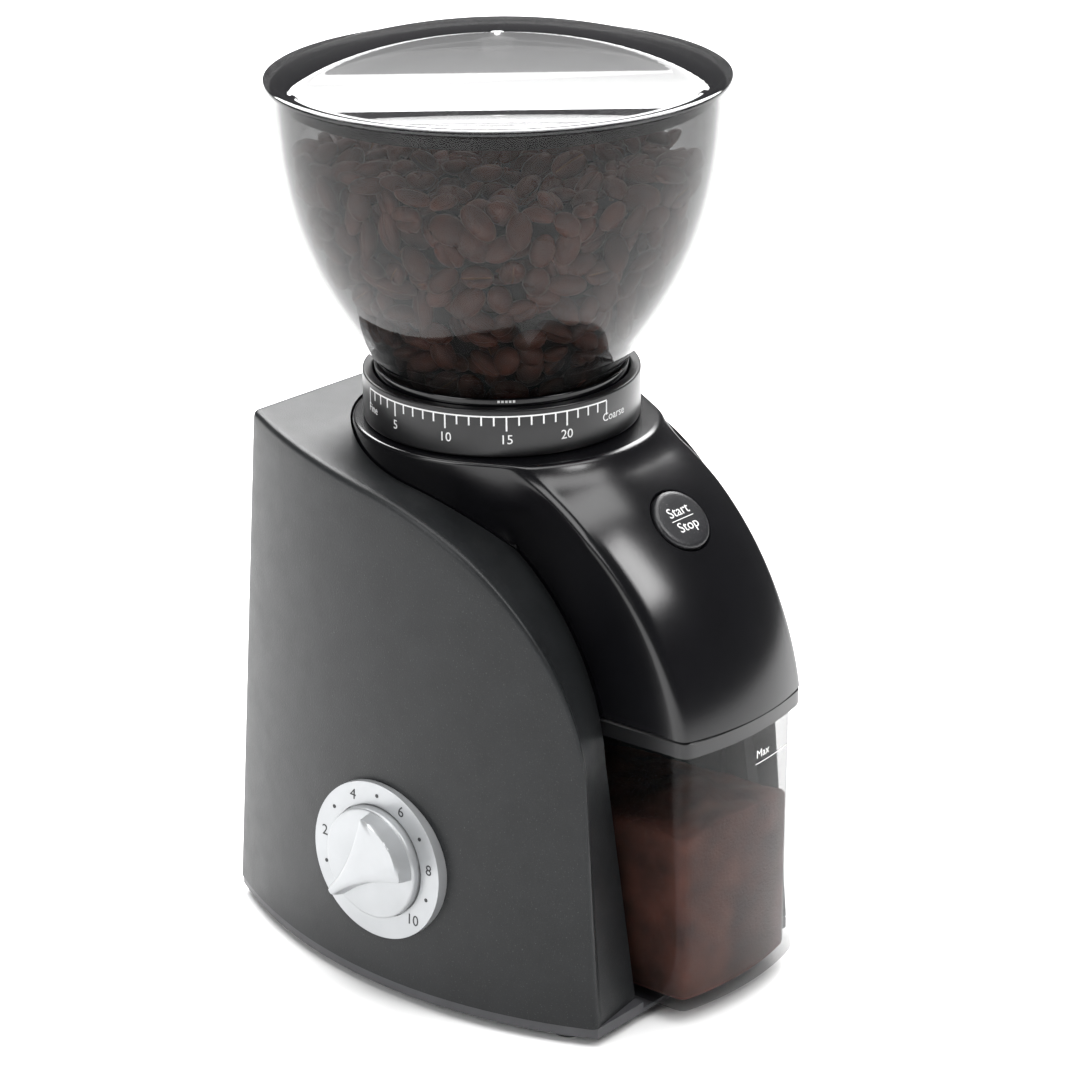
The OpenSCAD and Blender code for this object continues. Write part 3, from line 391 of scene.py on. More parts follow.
def side_shell(name, side):
    """One side shell: the leaning band, a rounded crease and the curved side panel."""
    half = LEFT_HALF if side < 0 else RIGHT_HALF

    def side_x(y, z):
        return panel_x(y, z, half)

    outline = shell_outline()
    rows = []
    count = len(outline)
    round_r = 2.2
    centre = (-8.0, 70.0)
    for i, (y, z, lean_y, lean_z) in enumerate(outline):
        before, after = outline[max(0, i - 1)], outline[min(count - 1, i + 1)]
        run = Vector((after[0] - before[0], after[1] - before[1])).normalized()
        inward = Vector((-run.y, run.x))
        if inward.dot(Vector((centre[0] - y, centre[1] - z))) < 0:
            inward = -inward
        inner = SHELL_IN if y < -20 else 0.15
        edge = side_x(y, z)
        row = []
        for k in range(17):
            x = inner + (edge - round_r - inner) * k / 16
            v = (CREASE_X - x) / (CREASE_X - SHELL_IN)
            lean = 0.0 if v < -0.25 else (v + 0.25) ** 2 if v < 0.25 else min(v, 1.0)
            row.append((x, y + lean_y * lean, z + lean_z * lean))
        panel_y, panel_z = y + inward.x * round_r, max(SHELL_FOOT, z + inward.y * round_r)
        band, tip = Vector(row[-1]), Vector((edge, y, z))
        foot = Vector((side_x(panel_y, panel_z), panel_y, panel_z))
        for k in range(1, 7):
            u = k / 6
            row.append(tuple((1 - u) ** 2 * band + 2 * u * (1 - u) * tip + u * u * foot))
        for k in range(1, 21):
            u = k / 20
            py, pz = panel_y + (centre[0] - panel_y) * u, panel_z + (centre[1] - panel_z) * u
            row.append((side_x(py, pz), py, pz))
        rows.append(row)
    width = len(rows[0])
    first, last = rows[0][22], rows[-1][22]
    bottom_start = len(rows)
    for i in range(1, 24):
        y = last[1] + (first[1] - last[1]) * i / 24
        row = [(side_x(y, SHELL_FOOT), y, SHELL_FOOT)] * 23
        for k in range(1, 21):
            u = k / 20
            py, pz = y + (centre[0] - y) * u, SHELL_FOOT + (centre[1] - SHELL_FOOT) * u
            row.append((side_x(py, pz), py, pz))
        rows.append(row)
    points = [(side * x, y, z) for row in rows for x, y, z in row]
    faces = []
    for i in range(len(rows)):
        n = (i + 1) % len(rows)
        bottom = i >= bottom_start - 1
        for j in range(22 if bottom else 0, width - 1):
            faces.append((i * width + j, n * width + j, n * width + j + 1, i * width + j + 1))
    shell = new_piece(name, points, faces, 30)
    up = max(shell.data.polygons, key=lambda face: face.center.z)
    if up.normal.z < 0:
        shell.data.flip_normals()
    trim_round(shell, Matrix(), 45.6)
    if side < 0:
        trim_round(shell, dial_place(), 12.0)
    thicken(shell, SHELL_WALL, 30)
    return shell


# ---- Hood with its collar ----

def smooth_max(a, b, k):
    h = np.maximum(k - np.abs(a - b), 0) / k
    return np.maximum(a, b) + h * h * k / 4


def hood_distance(x, y, z, blend):
    """Roughly how far a point lies outside the hood and its collar."""
    plan_r = HOOD_HALF ** 2 / (2 * HOOD_BULGE) + HOOD_BULGE / 2
    reach = HOOD_R - plan_r + np.sqrt(np.maximum(plan_r ** 2 - x ** 2, 1))
    barrel = np.sqrt((y - HOOD_Y) ** 2 + (z - HOOD_Z) ** 2) - reach
    half = np.interp(y, [HOOD_Y - HOOD_R, -60], [HOOD_HALF + 0.3, 30.0])
    body = np.maximum(smooth_max(barrel, np.abs(x) - half, 2.6), y)
    collar = np.sqrt(x ** 2 + y ** 2) - COLLAR_R
    return -smooth_max(-body, -collar, blend)


def hood_radius(direction, z):
    """Distance from the grinding axis to the hood's skin, in one direction from straight ahead."""
    low, high = np.full_like(direction, 20.0), np.full_like(direction, 125.0)
    blend = 0.3 + 10 * smooth((z - 139) / 14)
    for _ in range(40):
        middle = (low + high) / 2
        outside = hood_distance(middle * np.sin(direction), -middle * np.cos(direction), z, blend) > 0
        high = np.where(outside, middle, high)
        low = np.where(outside, low, middle)
    return (low + high) / 2


def hood_crease_direction(z):
    half = 28.0
    plan_r = HOOD_HALF ** 2 / (2 * HOOD_BULGE) + HOOD_BULGE / 2
    for _ in range(6):
        reach = HOOD_R - plan_r + math.sqrt(plan_r ** 2 - half ** 2)
        y = HOOD_Y - math.sqrt(reach ** 2 - (z - HOOD_Z) ** 2)
        half = float(np.interp(y, [HOOD_Y - HOOD_R, -60], [HOOD_HALF + 0.3, 30.0]))
    return math.atan2(half, -y), math.hypot(half, y)


def hood_columns(z):
    crease, reach = hood_crease_direction(z)
    offsets = np.array([-6, -4, -2.8, -2, -1.4, -0.9, -0.5, -0.2, 0, 0.2, 0.5, 0.9, 1.4, 2, 2.8, 4, 6])
    near = crease + offsets / reach
    inside = np.linspace(0, near[0], 40)[:-1]
    outside = np.linspace(near[-1], math.pi, 70)[1:]
    half = np.concatenate([inside, near, outside])
    return np.concatenate([half, -half[-2:0:-1]])


def front_hood():
    t_top = math.acos((COLLAR_TOP - HOOD_Z) / HOOD_R)
    t_low = math.acos((HOOD_FOOT - HOOD_Z) / HOOD_R)
    heights = [HOOD_Z + HOOD_R * math.cos(t_low + (t_top - t_low) * i / 110) for i in range(111)]
    edge_r = 1.2
    heights = [z for z in heights if z < COLLAR_TOP - edge_r - 0.1]
    heights += [COLLAR_TOP - edge_r * (1 - math.sin(math.pi / 2 * k / 7)) for k in range(8)]
    points, marks = [], []
    for z in heights:
        columns = hood_columns(z)
        radius = hood_radius(columns, z)
        over = max(0.0, z - (COLLAR_TOP - edge_r)) / edge_r
        radius = radius - edge_r * (1 - math.sqrt(max(0.0, 1 - over * over)))
        points += [(r * math.sin(a), -r * math.cos(a), z) for r, a in zip(radius, columns)]
    columns = hood_columns(COLLAR_TOP)
    for inner in (43.0, 40.0, 36.2):
        points += [(inner * math.sin(a), -inner * math.cos(a), COLLAR_TOP) for a in columns]
    width = len(columns)
    rows = len(points) // width
    faces = []
    for i in range(rows - 1):
        for j in range(width):
            k = (j + 1) % width
            if points[i * width + j][2] < 131 and points[i * width + j][1] > -18:
                continue
            faces.append((i * width + j, i * width + k, (i + 1) * width + k, (i + 1) * width + j))
    hood = new_piece("front_hood_skin", points, faces, 40)
    if max(hood.data.polygons, key=lambda face: face.center.z).normal.z < 0:
        hood.data.flip_normals()
    thicken(hood, 2.2, 40)
    hole = lathe("hole", [(0.01, 76), (9.9, 76), (9.9, 94.7), (11.2, 96.4), (11.2, 110), (0.01, 110)],
                 96, button_place())
    cut(hood, hole, 40)
    return hood


# ---- Places of the button and the dial, from their joints ----

def button_place():
    """Turned so that Z runs out along the button's axis, from the hood's arc centre."""
    out = -Vector(JOINTS["start_press"]["axis"])
    tilt = math.atan2(-out.y, out.z)
    return Matrix.Translation((0, HOOD_Y, HOOD_Z)) @ Matrix.Rotation(tilt, 4, "X")


def dial_place():
    """Turned so that Z runs out along the dial's axis, X up and Y to the rear."""
    joint = JOINTS["timer_turn"]
    out = -Vector(joint["axis"])
    up = (Vector((0, 0, 1)) - out * out.z).normalized()
    rear = out.cross(up)
    turn = Matrix((up, rear, out)).transposed().to_4x4()
    return Matrix.Translation(Vector(joint["pos_m"]) / MM) @ turn


# ---- Lettering and marks ----

def text_shape(words, size, bend, thick=0.06):
    """Solid lettering, centred, and laid on a surface by bend(x, y, height)."""
    curve = bpy.data.curves.new("words", "FONT")
    curve.body = words
    curve.size = size * 1.37
    curve.align_x = "CENTER"
    curve.align_y = "CENTER"
    curve.extrude = thick / 2
    curve.resolution_u = 3
    holder = bpy.data.objects.new("words", curve)
    bpy.context.scene.collection.objects.link(holder)
    mesh = bpy.data.meshes.new_from_object(holder.evaluated_get(bpy.context.evaluated_depsgraph_get()))
    points = [tuple(bend(v.co.x, v.co.y, v.co.z + thick / 2)) for v in mesh.vertices]
    faces = [tuple(face.vertices) for face in mesh.polygons]
    bpy.data.objects.remove(holder)
    bpy.data.curves.remove(curve)
    bpy.data.meshes.remove(mesh)
    return points, faces


def bar_shape(x0, x1, y0, y1, bend, thick=0.06, steps=1):
    """A thin printed bar, laid on a surface by bend()."""
    points, faces = [], []
    for i in range(steps + 1):
        x = x0 + (x1 - x0) * i / steps
        for y, h in ((y0, 0), (y1, 0), (y1, thick), (y0, thick)):
            points.append(tuple(bend(x, y, h)))
    for i in range(steps):
        a, b = i * 4, i * 4 + 4
        for k in range(4):
            m = (k + 1) % 4
            faces.append((a + k, a + m, b + m, b + k))
    faces += [(0, 1, 2, 3), (steps * 4 + 3, steps * 4 + 2, steps * 4 + 1, steps * 4)]
    return points, faces


def round_ring(degrees, height, radius):
    """A bend that wraps round the grinding axis at a height and a direction."""
    def bend(x, y, h):
        a = math.radians(degrees) + x / radius
        return (radius + h) * math.cos(a), (radius + h) * math.sin(a), height + y
    return bend


def flat_on(place, x0, y0, height, turned=False):
    """A bend onto a flat face in a placed frame. turned sets words upright on the dial."""
    def bend(x, y, h):
        local = Vector((x0 + y, y0 - x, height + h)) if turned else Vector((x0 + x, y0 + y, height + h))
        return place @ local
    return bend


def scale_marks():
    shapes = []
    first, step, count = 155.0, 5.0, 24
    r = SCALE_R + 0.02
    line_z = SCALE_TOP - 2.2
    span = math.radians(step * (count - 1)) * r
    shapes.append(bar_shape(0, span, 0, 0.45, round_ring(first, line_z, r), steps=60))
    for n in range(1, count + 1):
        long = n in (1, 5, 10, 15, 20, 24)
        length = 4.2 if long else 2.6
        shapes.append(bar_shape(-0.24, 0.24, -length, 0.1,
                                round_ring(first + step * (n - 1), line_z, r)))
    for n in (5, 10, 15, 20):
        shapes.append(text_shape(str(n), 2.9, round_ring(first + step * (n - 1), line_z - 6.9, r)))
    shapes.append(text_shape("Fine", 2.6, round_ring(first + 3, line_z - 5.6, r)))
    shapes.append(text_shape("Coarse", 2.6, round_ring(first + step * (count - 1) + 5, line_z - 5.0, r)))
    return join("scale_print", shapes)


def dial_marks():
    shapes = []
    place = dial_place()
    height = 1.82
    for k in range(11):
        a = math.radians(225 + 27 * k)
        up, right = 20.9 * math.cos(a), 20.9 * math.sin(a)
        if k % 2:
            spot, faces = lathe_shape([(0.01, 0), (0.62, 0), (0.62, 0.06), (0.01, 0.06)], 20,
                                      place @ Matrix.Translation((up, -right, height)))
            shapes.append((spot, faces))
        else:
            shapes.append(text_shape(str(k), 3.5, flat_on(place, up, -right, height, turned=True)))
    return join("dial_print", shapes)


# ---- Turned pieces ----

def bowl_radius(u):
    u = min(1.0, max(0.0, u))
    return NECK_R + (RIM_R - NECK_R) * (1 - (1 - u) ** (2.4 - 0.5 * (1 - u) ** 4))


def inner_radius(z):
    return bowl_radius((z - BOWL_Z) / (BOWL_TOP - BOWL_Z)) - BOWL_WALL


def hopper_bowl():
    neck_z = 154.6
    steps = 48
    tall = BOWL_TOP - BOWL_Z
    outer = [(bowl_radius(i / steps), BOWL_Z + tall * i / steps) for i in range(steps + 1)]
    inner = [(r - BOWL_WALL, z + 0.6 * (1 - (z - BOWL_Z) / tall)) for r, z in reversed(outer)]
    outer[-1] = (outer[-1][0], outer[-1][1] - 0.5)
    rim = [(RIM_R - 0.5, BOWL_TOP), (RIM_R - BOWL_WALL + 0.5, BOWL_TOP)]
    inner[0] = (inner[0][0], inner[0][1] - 0.5)
    profile = [(19.5, neck_z), (NECK_R, neck_z)] + outer + rim + inner
    profile += [(NECK_R - BOWL_WALL, neck_z + 9), (19.5, neck_z + BOWL_WALL)]
    return lathe("hopper_bowl", profile, 192)


def scale_ring():
    r, bore = SCALE_R, ADJUST_R + 0.4
    corners = [(bore, SCALE_Z), (r, SCALE_Z), (r, SCALE_TOP), (bore, SCALE_TOP)]
    return lathe("scale_ring_band", rounded(corners, 0.7), 240)


def adjust_collar():
    low, top = 142.2, 181.0
    corners = [(33.4, low), (35.6, low), (35.6, SCALE_Z + 1), (ADJUST_R, SCALE_Z + 1), (ADJUST_R, top),
               (36.9, top), (36.5, 179.6), (35.2, 179.3), (34.9, 177.4), (33.9, 175.0), (33.6, 170),
               (33.6, 153.6), (33.4, 153.6)]
    return lathe("adjusting_collar", rounded(corners, 0.35, 3), 240)


def collar_indicator():
    """Small white mark on the collar's top edge, over the setting shown."""
    shapes = []
    for k in range(5):
        shapes.append(bar_shape(-2.4 + k * 1.1, -1.7 + k * 1.1, -0.35, 0.35,
                                round_ring(225, 180.3, ADJUST_R + 0.02)))
    return join("setting_mark", shapes)


# ---- Lid ----

def lid_heights():
    dome_r = RIM_R - 1
    sphere_r = (dome_r ** 2 + LID_RISE ** 2) / (2 * LID_RISE)
    dome_z = LID_Z + FLANGE_T
    turn = math.radians(223.4)

    def top(x, y):
        r = math.hypot(x, y)
        dome = dome_z + LID_RISE - sphere_r + math.sqrt(sphere_r ** 2 - min(r, dome_r) ** 2)
        along = x * math.cos(turn) + y * math.sin(turn)
        reach = 78 ** 2 - (along - 44.01) ** 2
        scoop = 343.1 - math.sqrt(reach) if reach > 0 else 400.0
        inside = smooth((63.7 - r) / 1.6)
        return dome if scoop > dome else dome + (scoop - dome) * inside
    return top


def hopper_lid():
    """The lid as a thin curved sheet: its dome with the finger scoop, its flange and its plug."""
    top = lid_heights()
    rings = [0, 3, 7] + [10 + k * 1.9 for k in range(27)] + [61.4, 62.2, 63.0, 63.8, 64.5]
    around = 256
    dome_z = LID_Z + FLANGE_T
    points, faces = [], []
    for r in rings:
        for i in range(around):
            a = 2 * math.pi * i / around
            x, y = r * math.cos(a), r * math.sin(a)
            points.append((x, y, top(x, y)))
    edge = [(65.0, dome_z), (66.9, dome_z), (67.4, dome_z - 0.3), (LID_R, dome_z - 0.8),
            (67.4, LID_Z + 0.2), (66.9, LID_Z), (62.9, LID_Z), (62.7, LID_Z - 0.3),
            (62.7, LID_Z - 4.7), (62.4, LID_Z - 5), (60.9, LID_Z - 5), (60.7, LID_Z - 4.7)]
    for r, z in edge:
        points += [(r * math.cos(2 * math.pi * i / around), r * math.sin(2 * math.pi * i / around), z)
                   for i in range(around)]
    under = [(60.7, None), (58.0, None), (50.0, None), (38.0, None), (24.0, None), (10.0, None), (0.0, None)]
    for r, _ in under:
        for i in range(around):
            a = 2 * math.pi * i / around
            x, y = r * math.cos(a), r * math.sin(a)
            points.append((x, y, top(x, y) - 2.2))
    rows = len(rings) + len(edge) + len(under)
    for i in range(rows - 1):
        for j in range(around):
            k = (j + 1) % around
            faces.append((i * around + j, (i + 1) * around + j, (i + 1) * around + k, i * around + k))
    return new_piece("hopper_lid_cover", points, faces, 32)


# ---- Start button and dial knob ----

def start_button():
    r, top = 9.5, HOOD_R + 0.6
    corners = [(0.01, top), (0.01, 84.5), (3.2, 84.5), (3.2, 90.5), (10.9, 90.5), (10.9, 92.1),
               (r, 92.1), (r, top - 1.0)]
    dome = [(r - 0.15, top - 0.55), (r - 0.6, top - 0.2), (r - 1.6, top - 0.05), (5, top)]
    return lathe("start_button_cap", corners[1:] + dome + [corners[0]], 128, button_place())


def button_marks():
    place = button_place()
    height = HOOD_R + 0.6
    shapes = [text_shape("Start", 3.3, flat_on(place, 0, 2.5, height)),
              text_shape("Stop", 3.3, flat_on(place, 0.3, -2.6, height)),
              bar_shape(-4.6, 4.6, -0.12, 0.12, flat_on(place, 0, 0, height))]
    return join("button_print", shapes)


def timer_knob():
    """A disc with a raised grip: narrow at its pointer and fanned out at the other end."""
    r, base, top = 17.3, 1.0, 4.8
    place = dial_place()
    disc = lathe_shape(rounded([(3.0, base), (r, base), (r, top), (3.0, top)], 0.9), 128, place)
    reach, lift = r - 0.7, 6.3
    turn = place @ Matrix.Rotation(math.radians(135), 4, "Z")
    stations = 56
    points, faces = [], []
    section = [(1.0, 0.0), (0.9, 0.16), (0.55, 0.62), (0.2, 0.9), (-0.25, 1.0)]
    width = len(section) * 2 + 3
    for i in range(stations + 1):
        p = reach * -math.cos(math.pi * i / stations)
        room = math.sqrt(max(0.0, reach ** 2 - p ** 2))
        fan = 0.9 + 12.6 * ((reach - p) / (2 * reach)) ** 1.75
        w = min(fan, room)
        skirt = min(1.5, room - w) if room > w else 0.0
        tall = lift * (0.72 + 0.28 * (reach - p) / (2 * reach))
        row = [(-w - skirt * s if s > 0 else -w * (1 + 0.5 * s), h) for s, h in section]
        row += [(q * w * 0.6, 1.0 + 0.03 * (1 - q * q)) for q in (-0.7, 0.0, 0.7)]
        row += [(w + skirt * s if s > 0 else w * (1 + 0.5 * s), h) for s, h in reversed(section)]
        for q, h in row:
            points.append(tuple(turn @ Vector((p, q, top - 0.1 + tall * h))))
    for i in range(stations):
        for j in range(width - 1):
            a, b = i * width + j, (i + 1) * width + j
            faces.append((a, b, b + 1, a + 1))
    return join("timer_knob_grip", [disc, (points, faces)], 40)


# ---- Grounds bin ----

BIN_BACK, BIN_FRONT, BIN_HALF, BIN_FOOT, BIN_TOP = -22.6, -98.6, 29.6, 4.5, 88.0
BIN_CENTRE = (0.0, -58.0)


def bin_reach(angle, inset):
    """Distance from the bin's middle to its outline, in one direction."""
    front_half, bulge, shoulder = 25.8, 3.6, -66.0
    bow_r = front_half ** 2 / (2 * bulge) + bulge / 2
    low, high = 5.0, 80.0
    for _ in range(34):
        r = (low + high) / 2
        x, y = r * math.sin(angle), BIN_CENTRE[1] - r * math.cos(angle)
        half = float(np.interp(y, [BIN_FRONT, shoulder], [front_half, BIN_HALF])) - inset
        back = y - (BIN_BACK - inset)
        bow = math.hypot(x, y - BIN_FRONT - bow_r) - (bow_r - inset)
        side = abs(x) - half
        gaps = sorted((side, back, bow))
        near = max(2.2 - (gaps[2] - gaps[1]), 0) / 2.2
        if gaps[2] + near * near * 2.2 / 4 > 0:
            high = r
        else:
            low = r
    return (low + high) / 2


def bin_ring(inset, z, count=200):
    out = []
    for i in range(count):
        a = 2 * math.pi * i / count
        r = bin_reach(a, inset)
        out.append((r * math.sin(a), BIN_CENTRE[1] - r * math.cos(a), z))
    return out


def loft(name, rings, closed=False, cap_first=False, cap_last=False, sharp=35):
    count = len(rings[0])
    points = [p for ring in rings for p in ring]
    faces = []
    for i in range(len(rings) if closed else len(rings) - 1):
        n = (i + 1) % len(rings)
        for j in range(count):
            k = (j + 1) % count
            faces.append((i * count + j, i * count + k, n * count + k, n * count + j))
    if cap_first:
        faces.append(tuple(range(count)))
    if cap_last:
        base = (len(rings) - 1) * count
        faces.append(tuple(base + k for k in range(count)))
    return new_piece(name, points, faces, sharp)


def grounds_bin():
    wall = 2.2
    rings = [bin_ring(0.9, BIN_FOOT), bin_ring(0.3, BIN_FOOT + 0.25), bin_ring(0.0, BIN_FOOT + 1.0),
             bin_ring(0.0, BIN_TOP - 20), bin_ring(0.0, BIN_TOP), bin_ring(wall, BIN_TOP),
             bin_ring(wall, BIN_FOOT + 3.6), bin_ring(wall + 0.9, BIN_FOOT + 2.5)]
    return loft("grounds_bin_tub", rings, cap_first=True, cap_last=True)


def bin_rim():
    top = 93.0
    rings = [bin_ring(-0.2, BIN_TOP), bin_ring(-0.2, top - 0.5), bin_ring(0.3, top),
             bin_ring(2.6, top), bin_ring(3.0, top - 0.4), bin_ring(3.0, BIN_TOP)]
    return loft("bin_rim_frame", rings, closed=True)


def ground_coffee():
    """The heap of grounds, high at the left front and falling away to the right."""
    random.seed(11)
    count = 200
    inset = 2.45
    floor_z = BIN_FOOT + 2.6
    base = bin_ring(inset, floor_z, count)

    def heap(x, y):
        wave = 1.6 * math.sin(x * 0.21 + 1.0) * math.cos(y * 0.17)
        return 56 - 0.10 * x - 0.10 * (y + 58) + wave + 5.0 * smooth(1 - abs(x - 4) / 26)

    rings = [base]
    for k in range(1, 4):
        rings.append([(x, y, floor_z + (heap(x, y) - 1.2 - floor_z) * k / 3) for x, y, _ in base])
    for k in range(34):
        u = 1 - k / 34
        ring = []
        for x, y, _ in base:
            px, py = x * u, BIN_CENTRE[1] + (y - BIN_CENTRE[1]) * u
            lump = random.uniform(-0.45, 0.45)
            ring.append((px, py, heap(px, py) + lump - (0.6 if k == 0 else 0)))
        rings.append(ring)
    return loft("ground_coffee_heap", rings, cap_first=True, cap_last=True, sharp=80)


def bin_marks():
    def front(x, y, h):
        front_half, bulge = 25.8, 3.6
        bow_r = front_half ** 2 / (2 * bulge) + bulge / 2
        px = 4.5 + x
        py = BIN_FRONT + bow_r - math.sqrt((bow_r + h + 0.03) ** 2 - px ** 2)
        return px, py, 80.5 + y
    shapes = [text_shape("Max", 2.7, front), bar_shape(-3.4, 13.0, -3.0, -2.75, front, steps=12)]
    return join("max_print", shapes)


# ---- Coffee beans ----

def bean_template():
    """Points of one bean, its faces, and which faces lie along its crease."""
    turns = [0, 5, 12, 28, 52, 85, 120, 155, 180, 205, 240, 275, 308, 332, 348, 355]
    stations = 9
    points, faces, crease = [], [], []
    for i in range(stations + 1):
        lengthwise = -math.cos(math.pi * i / stations)
        ring = math.sin(math.pi * i / stations)
        for degrees in turns:
            a = math.radians(degrees)
            across, high = math.sin(a) * ring, -math.cos(a) * ring
            if high < 0:
                high *= 0.62
                groove = math.exp(-(across / 0.13) ** 2) * (1 - lengthwise ** 6)
                high += 0.42 * groove * ring
            points.append((6.0 * lengthwise, 4.1 * across, 3.2 * high))
    width = len(turns)
    for i in range(stations):
        for j in range(width):
            k = (j + 1) % width
            faces.append((i * width + j, (i + 1) * width + j, (i + 1) * width + k, i * width + k))
            crease.append(j in (0, width - 1) and 0 < i < stations - 1)
    return np.array(points), faces, crease


def bean_places():
    """Seeded places for beans next to the bowl's wall and over the top of the heap."""
    chooser = random.Random(4)
    spacing = 6.7
    cells, places = {}, []

    def heap_top(x, y):
        dome = 251.5 - 10 * (math.hypot(x, y) / 60) ** 2
        return dome + 2.0 * math.sin(x * 0.09) + 1.6 * math.cos(y * 0.11 + 1)

    for _ in range(90000):
        z = chooser.uniform(163, 254)
        limit = inner_radius(z) - 4.6 if z > BOWL_Z else 26.2
        a = chooser.uniform(0, 2 * math.pi)
        r = limit * math.sqrt(chooser.random())
        x, y = r * math.cos(a), r * math.sin(a)
        top = heap_top(x, y) - z
        if top < 0 or (limit - r > 8.5 and top > 8.5):
            continue
        cell = (int(x // spacing), int(y // spacing), int(z // spacing))
        clear = True
        for i in range(-1, 2):
            for j in range(-1, 2):
                for k in range(-1, 2):
                    for other in cells.get((cell[0] + i, cell[1] + j, cell[2] + k), ()):
                        if (Vector(other) - Vector((x, y, z))).length < spacing:
                            clear = False
        if not clear:
            continue
        cells.setdefault(cell, []).append((x, y, z))
        wallward = limit - r < top
        slope = (inner_radius(z + 1) - inner_radius(z - 1)) / 2
        out = Vector((x, y, -slope * r)).normalized() if wallward and r > 1 else Vector((0, 0, 1))
        places.append((Vector((x, y, z)), out))
    return places, chooser


def coffee_beans():
    template, faces, crease = bean_template()
    places, chooser = bean_places()
    groups = 3
    pieces = []
    for g in range(groups):
        points, all_faces, kinds = [], [], []
        for place, out in places[g::groups]:
            tip = Vector([chooser.uniform(-1, 1) for _ in range(3)])
            normal = (out + tip * 0.55).normalized()
            if chooser.random() < 0.45:
                normal = -normal
            along = normal.orthogonal().normalized()
            along.rotate(Matrix.Rotation(chooser.uniform(0, 2 * math.pi), 3, normal))
            across = normal.cross(along)
            size = chooser.uniform(0.82, 1.06)
            turn = np.array([along, across, normal]) * size
            base = len(points)
            points.extend((template @ turn + np.array(place)).tolist())
            pale = chooser.random() < 0.3
            all_faces.extend(tuple(base + k for k in face) for face in faces)
            kinds.extend(1 if pale and c else 0 for c in crease)
        mesh = bpy.data.meshes.new(f"coffee_beans_{g + 1}")
        mesh.from_pydata([tuple(c * MM for c in p) for p in points], [], all_faces)
        mesh.materials.append(BEAN)
        mesh.materials.append(BEAN_CREASE)
        mesh.polygons.foreach_set("material_index", kinds)
        shade(mesh, 70)
        piece = bpy.data.objects.new(mesh.name, mesh)
        bpy.context.scene.collection.objects.link(piece)
        pieces.append(piece)
    return pieces


def bean_core():
    """Dark solid in the middle of the heap, painted shade standing in for the shadowed gaps between the beans, so
    that nothing shows between them.
    """
    steps = 14
    side = [(max(4.0, inner_radius(z) - 11) if z > BOWL_Z else 18.0, z)
            for z in (166 + 72 * i / steps for i in range(steps + 1))]
    return lathe("bean_heap_shade_core", [(0.01, 166)] + side + [(0.01, 238)], 64)


# ---- Build it all ----

dress_cad_nodes()

for shell_name, sign in (("left_side_shell", -1), ("right_side_shell", 1)):
    finish_piece(side_shell(shell_name.replace("shell", "cover"), sign), "housing",
                 SLOT_OF[shell_name], SHELL, shell_name)

finish_piece(front_hood(), "housing", SLOT_OF["front_hood"], HOOD, "front_hood")
finish_piece(scale_ring(), "housing", SLOT_OF["scale_ring"], SATIN, "scale_ring")
finish_piece(scale_marks(), "housing", SLOT_OF["scale_ring"], PRINT)
finish_piece(adjust_collar(), "adjuster", SLOT_OF["adjust_collar"], GLOSS_RING, "adjust_collar")
finish_piece(collar_indicator(), "adjuster", SLOT_OF["adjust_collar"], PRINT)
finish_piece(hopper_bowl(), "hopper", SLOT_OF["hopper"], BOWL, "hopper")
finish_piece(hopper_lid(), "lid", SLOT_OF["hopper_lid"], LID, "hopper_lid")
finish_piece(start_button(), "button", SLOT_OF["start_button"], BUTTON, "start_button")
finish_piece(button_marks(), "button", SLOT_OF["start_button"], PRINT)
finish_piece(timer_knob(), "dial", SLOT_OF["timer_knob"], SILVER, "timer_knob")
finish_piece(dial_marks(), "housing", SLOT_OF["timer_bezel"], DARK_PRINT)
finish_piece(grounds_bin(), "bin", SLOT_OF["grounds_bin"], BIN, "grounds_bin")
finish_piece(bin_rim(), "bin", SLOT_OF["bin_rim"], SATIN, "bin_rim")
finish_piece(bin_marks(), "bin", SLOT_OF["bin_rim"], PRINT)
finish_piece(ground_coffee(), "bin", SLOT_OF["grounds_bin"], GROUNDS)
# The dark core of the heap is painted shade between the beans.
finish_piece(bean_core(), "hopper", SLOT_OF["hopper"], BEAN_SHADE_CORE)
for bean_piece in coffee_beans():
    finish_piece(bean_piece, "hopper", SLOT_OF["hopper"], BEAN)

bezel_mesh = frame["nodes"]["timer_bezel"].data
bezel_mesh.materials.clear()
bezel_mesh.materials.append(SILVER)


# ---- Floor, light and camera ----

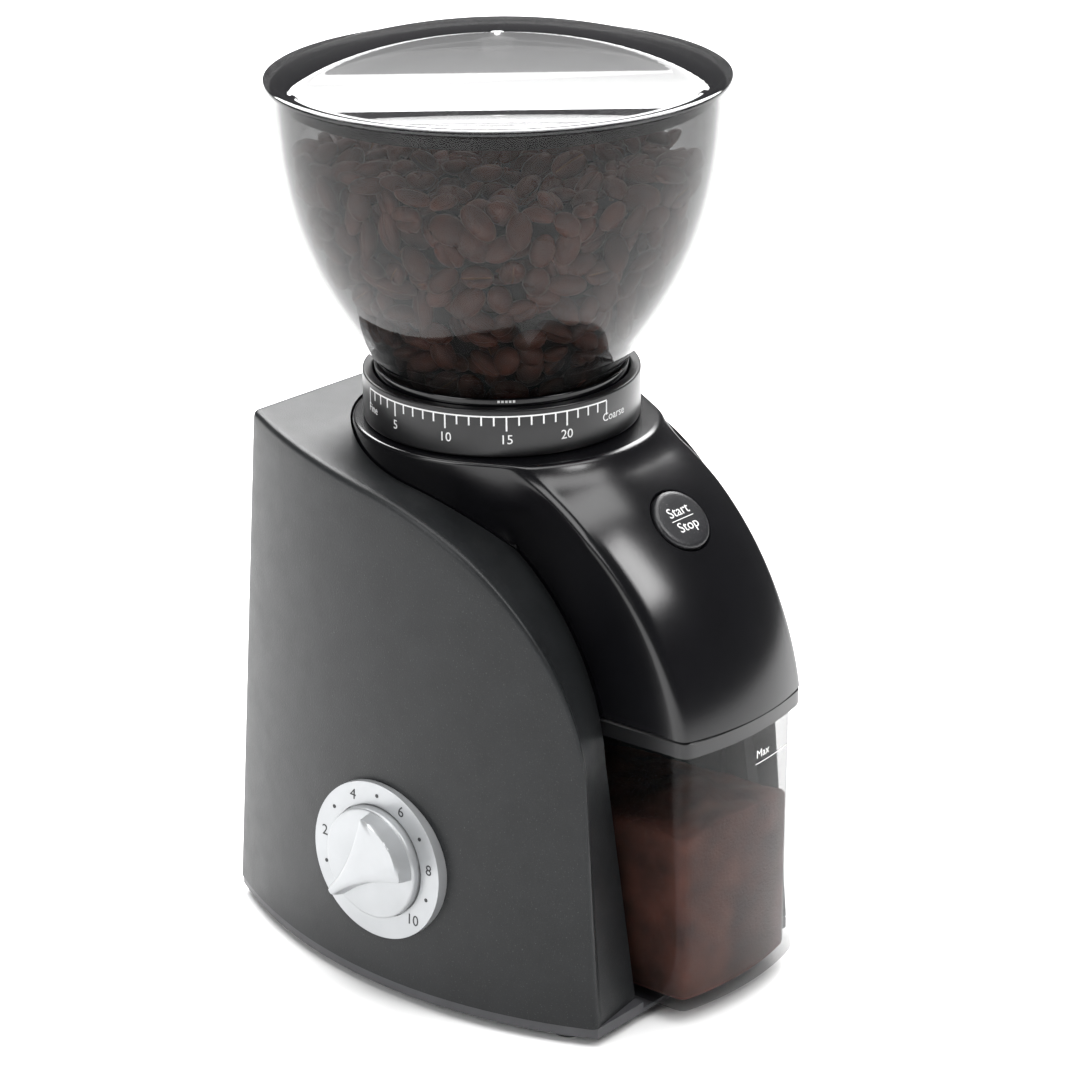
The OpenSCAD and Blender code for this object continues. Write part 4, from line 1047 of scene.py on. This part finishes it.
def area_light(name, place, target, width, height, power, colour=(1, 1, 1)):
    lamp = bpy.data.lights.new(name, "AREA")
    lamp.shape = "RECTANGLE"
    lamp.size = width
    lamp.size_y = height
    lamp.energy = power
    lamp.color = colour
    holder = bpy.data.objects.new(name, lamp)
    bpy.context.scene.collection.objects.link(holder)
    holder.location = place
    holder.rotation_euler = (Vector(target) - Vector(place)).to_track_quat("-Z", "Y").to_euler()


def make_floor():
    reach, count = 1500, 96
    rim = [(reach * math.cos(2 * math.pi * i / count), reach * math.sin(2 * math.pi * i / count), -0.2)
           for i in range(count)]
    floor = new_piece("floor", rim, [tuple(range(count))])
    floor.data.materials.append(make_material("floor_white", (0.88, 0.88, 0.88), rough=0.8,
                                              mottle=0.004, specular=0.1))


def make_camera():
    """Camera at the photographed angle: its direction round and above the object, and its roll."""
    azimuth, elevation, roll = math.radians(-46.623), math.radians(22.989), math.radians(0.741)
    distance, target = 0.92484, Vector((0, 0, 0.11159))
    back = Vector((math.sin(azimuth) * math.cos(elevation), -math.cos(azimuth) * math.cos(elevation),
                   math.sin(elevation)))
    level = Vector((math.cos(azimuth), math.sin(azimuth), 0))
    up = back.cross(level)
    right = level * math.cos(roll) - up * math.sin(roll)
    top = level * math.sin(roll) + up * math.cos(roll)
    lens = bpy.data.cameras.new("camera")
    lens.lens = 100.37
    lens.sensor_width = 36
    lens.shift_x = 0.0331
    lens.shift_y = 0.0285
    lens.clip_start = 0.01
    camera = bpy.data.objects.new("camera", lens)
    bpy.context.scene.collection.objects.link(camera)
    turn = Matrix((right, top, back)).transposed().to_4x4()
    camera.matrix_world = Matrix.Translation(target + back * distance) @ turn
    bpy.context.scene.camera = camera


make_floor()
make_camera()
bpy.context.scene.view_settings.view_transform = "Standard"
world = bpy.data.worlds.new("studio")
world.use_nodes = True
world.node_tree.nodes["Background"].inputs["Color"].default_value = (1, 1, 1, 1)
world.node_tree.nodes["Background"].inputs["Strength"].default_value = 0.12
bpy.context.scene.world = world
area_light("top_softbox", (0.0, 0.1, 1.8), (0, 0, 0), 1.7, 1.7, 52)
area_light("left_softbox", (-1.3, 0.1, 0.8), (0, 0, 0.12), 0.7, 0.9, 9)
area_light("front_softbox", (0.22, -0.95, 1.15), (0, -0.06, 0.13), 0.34, 0.6, 9)
area_light("back_panel", (0.80, 0.75, 1.22), (0, 0, 0.27), 1.9, 0.85, 68)
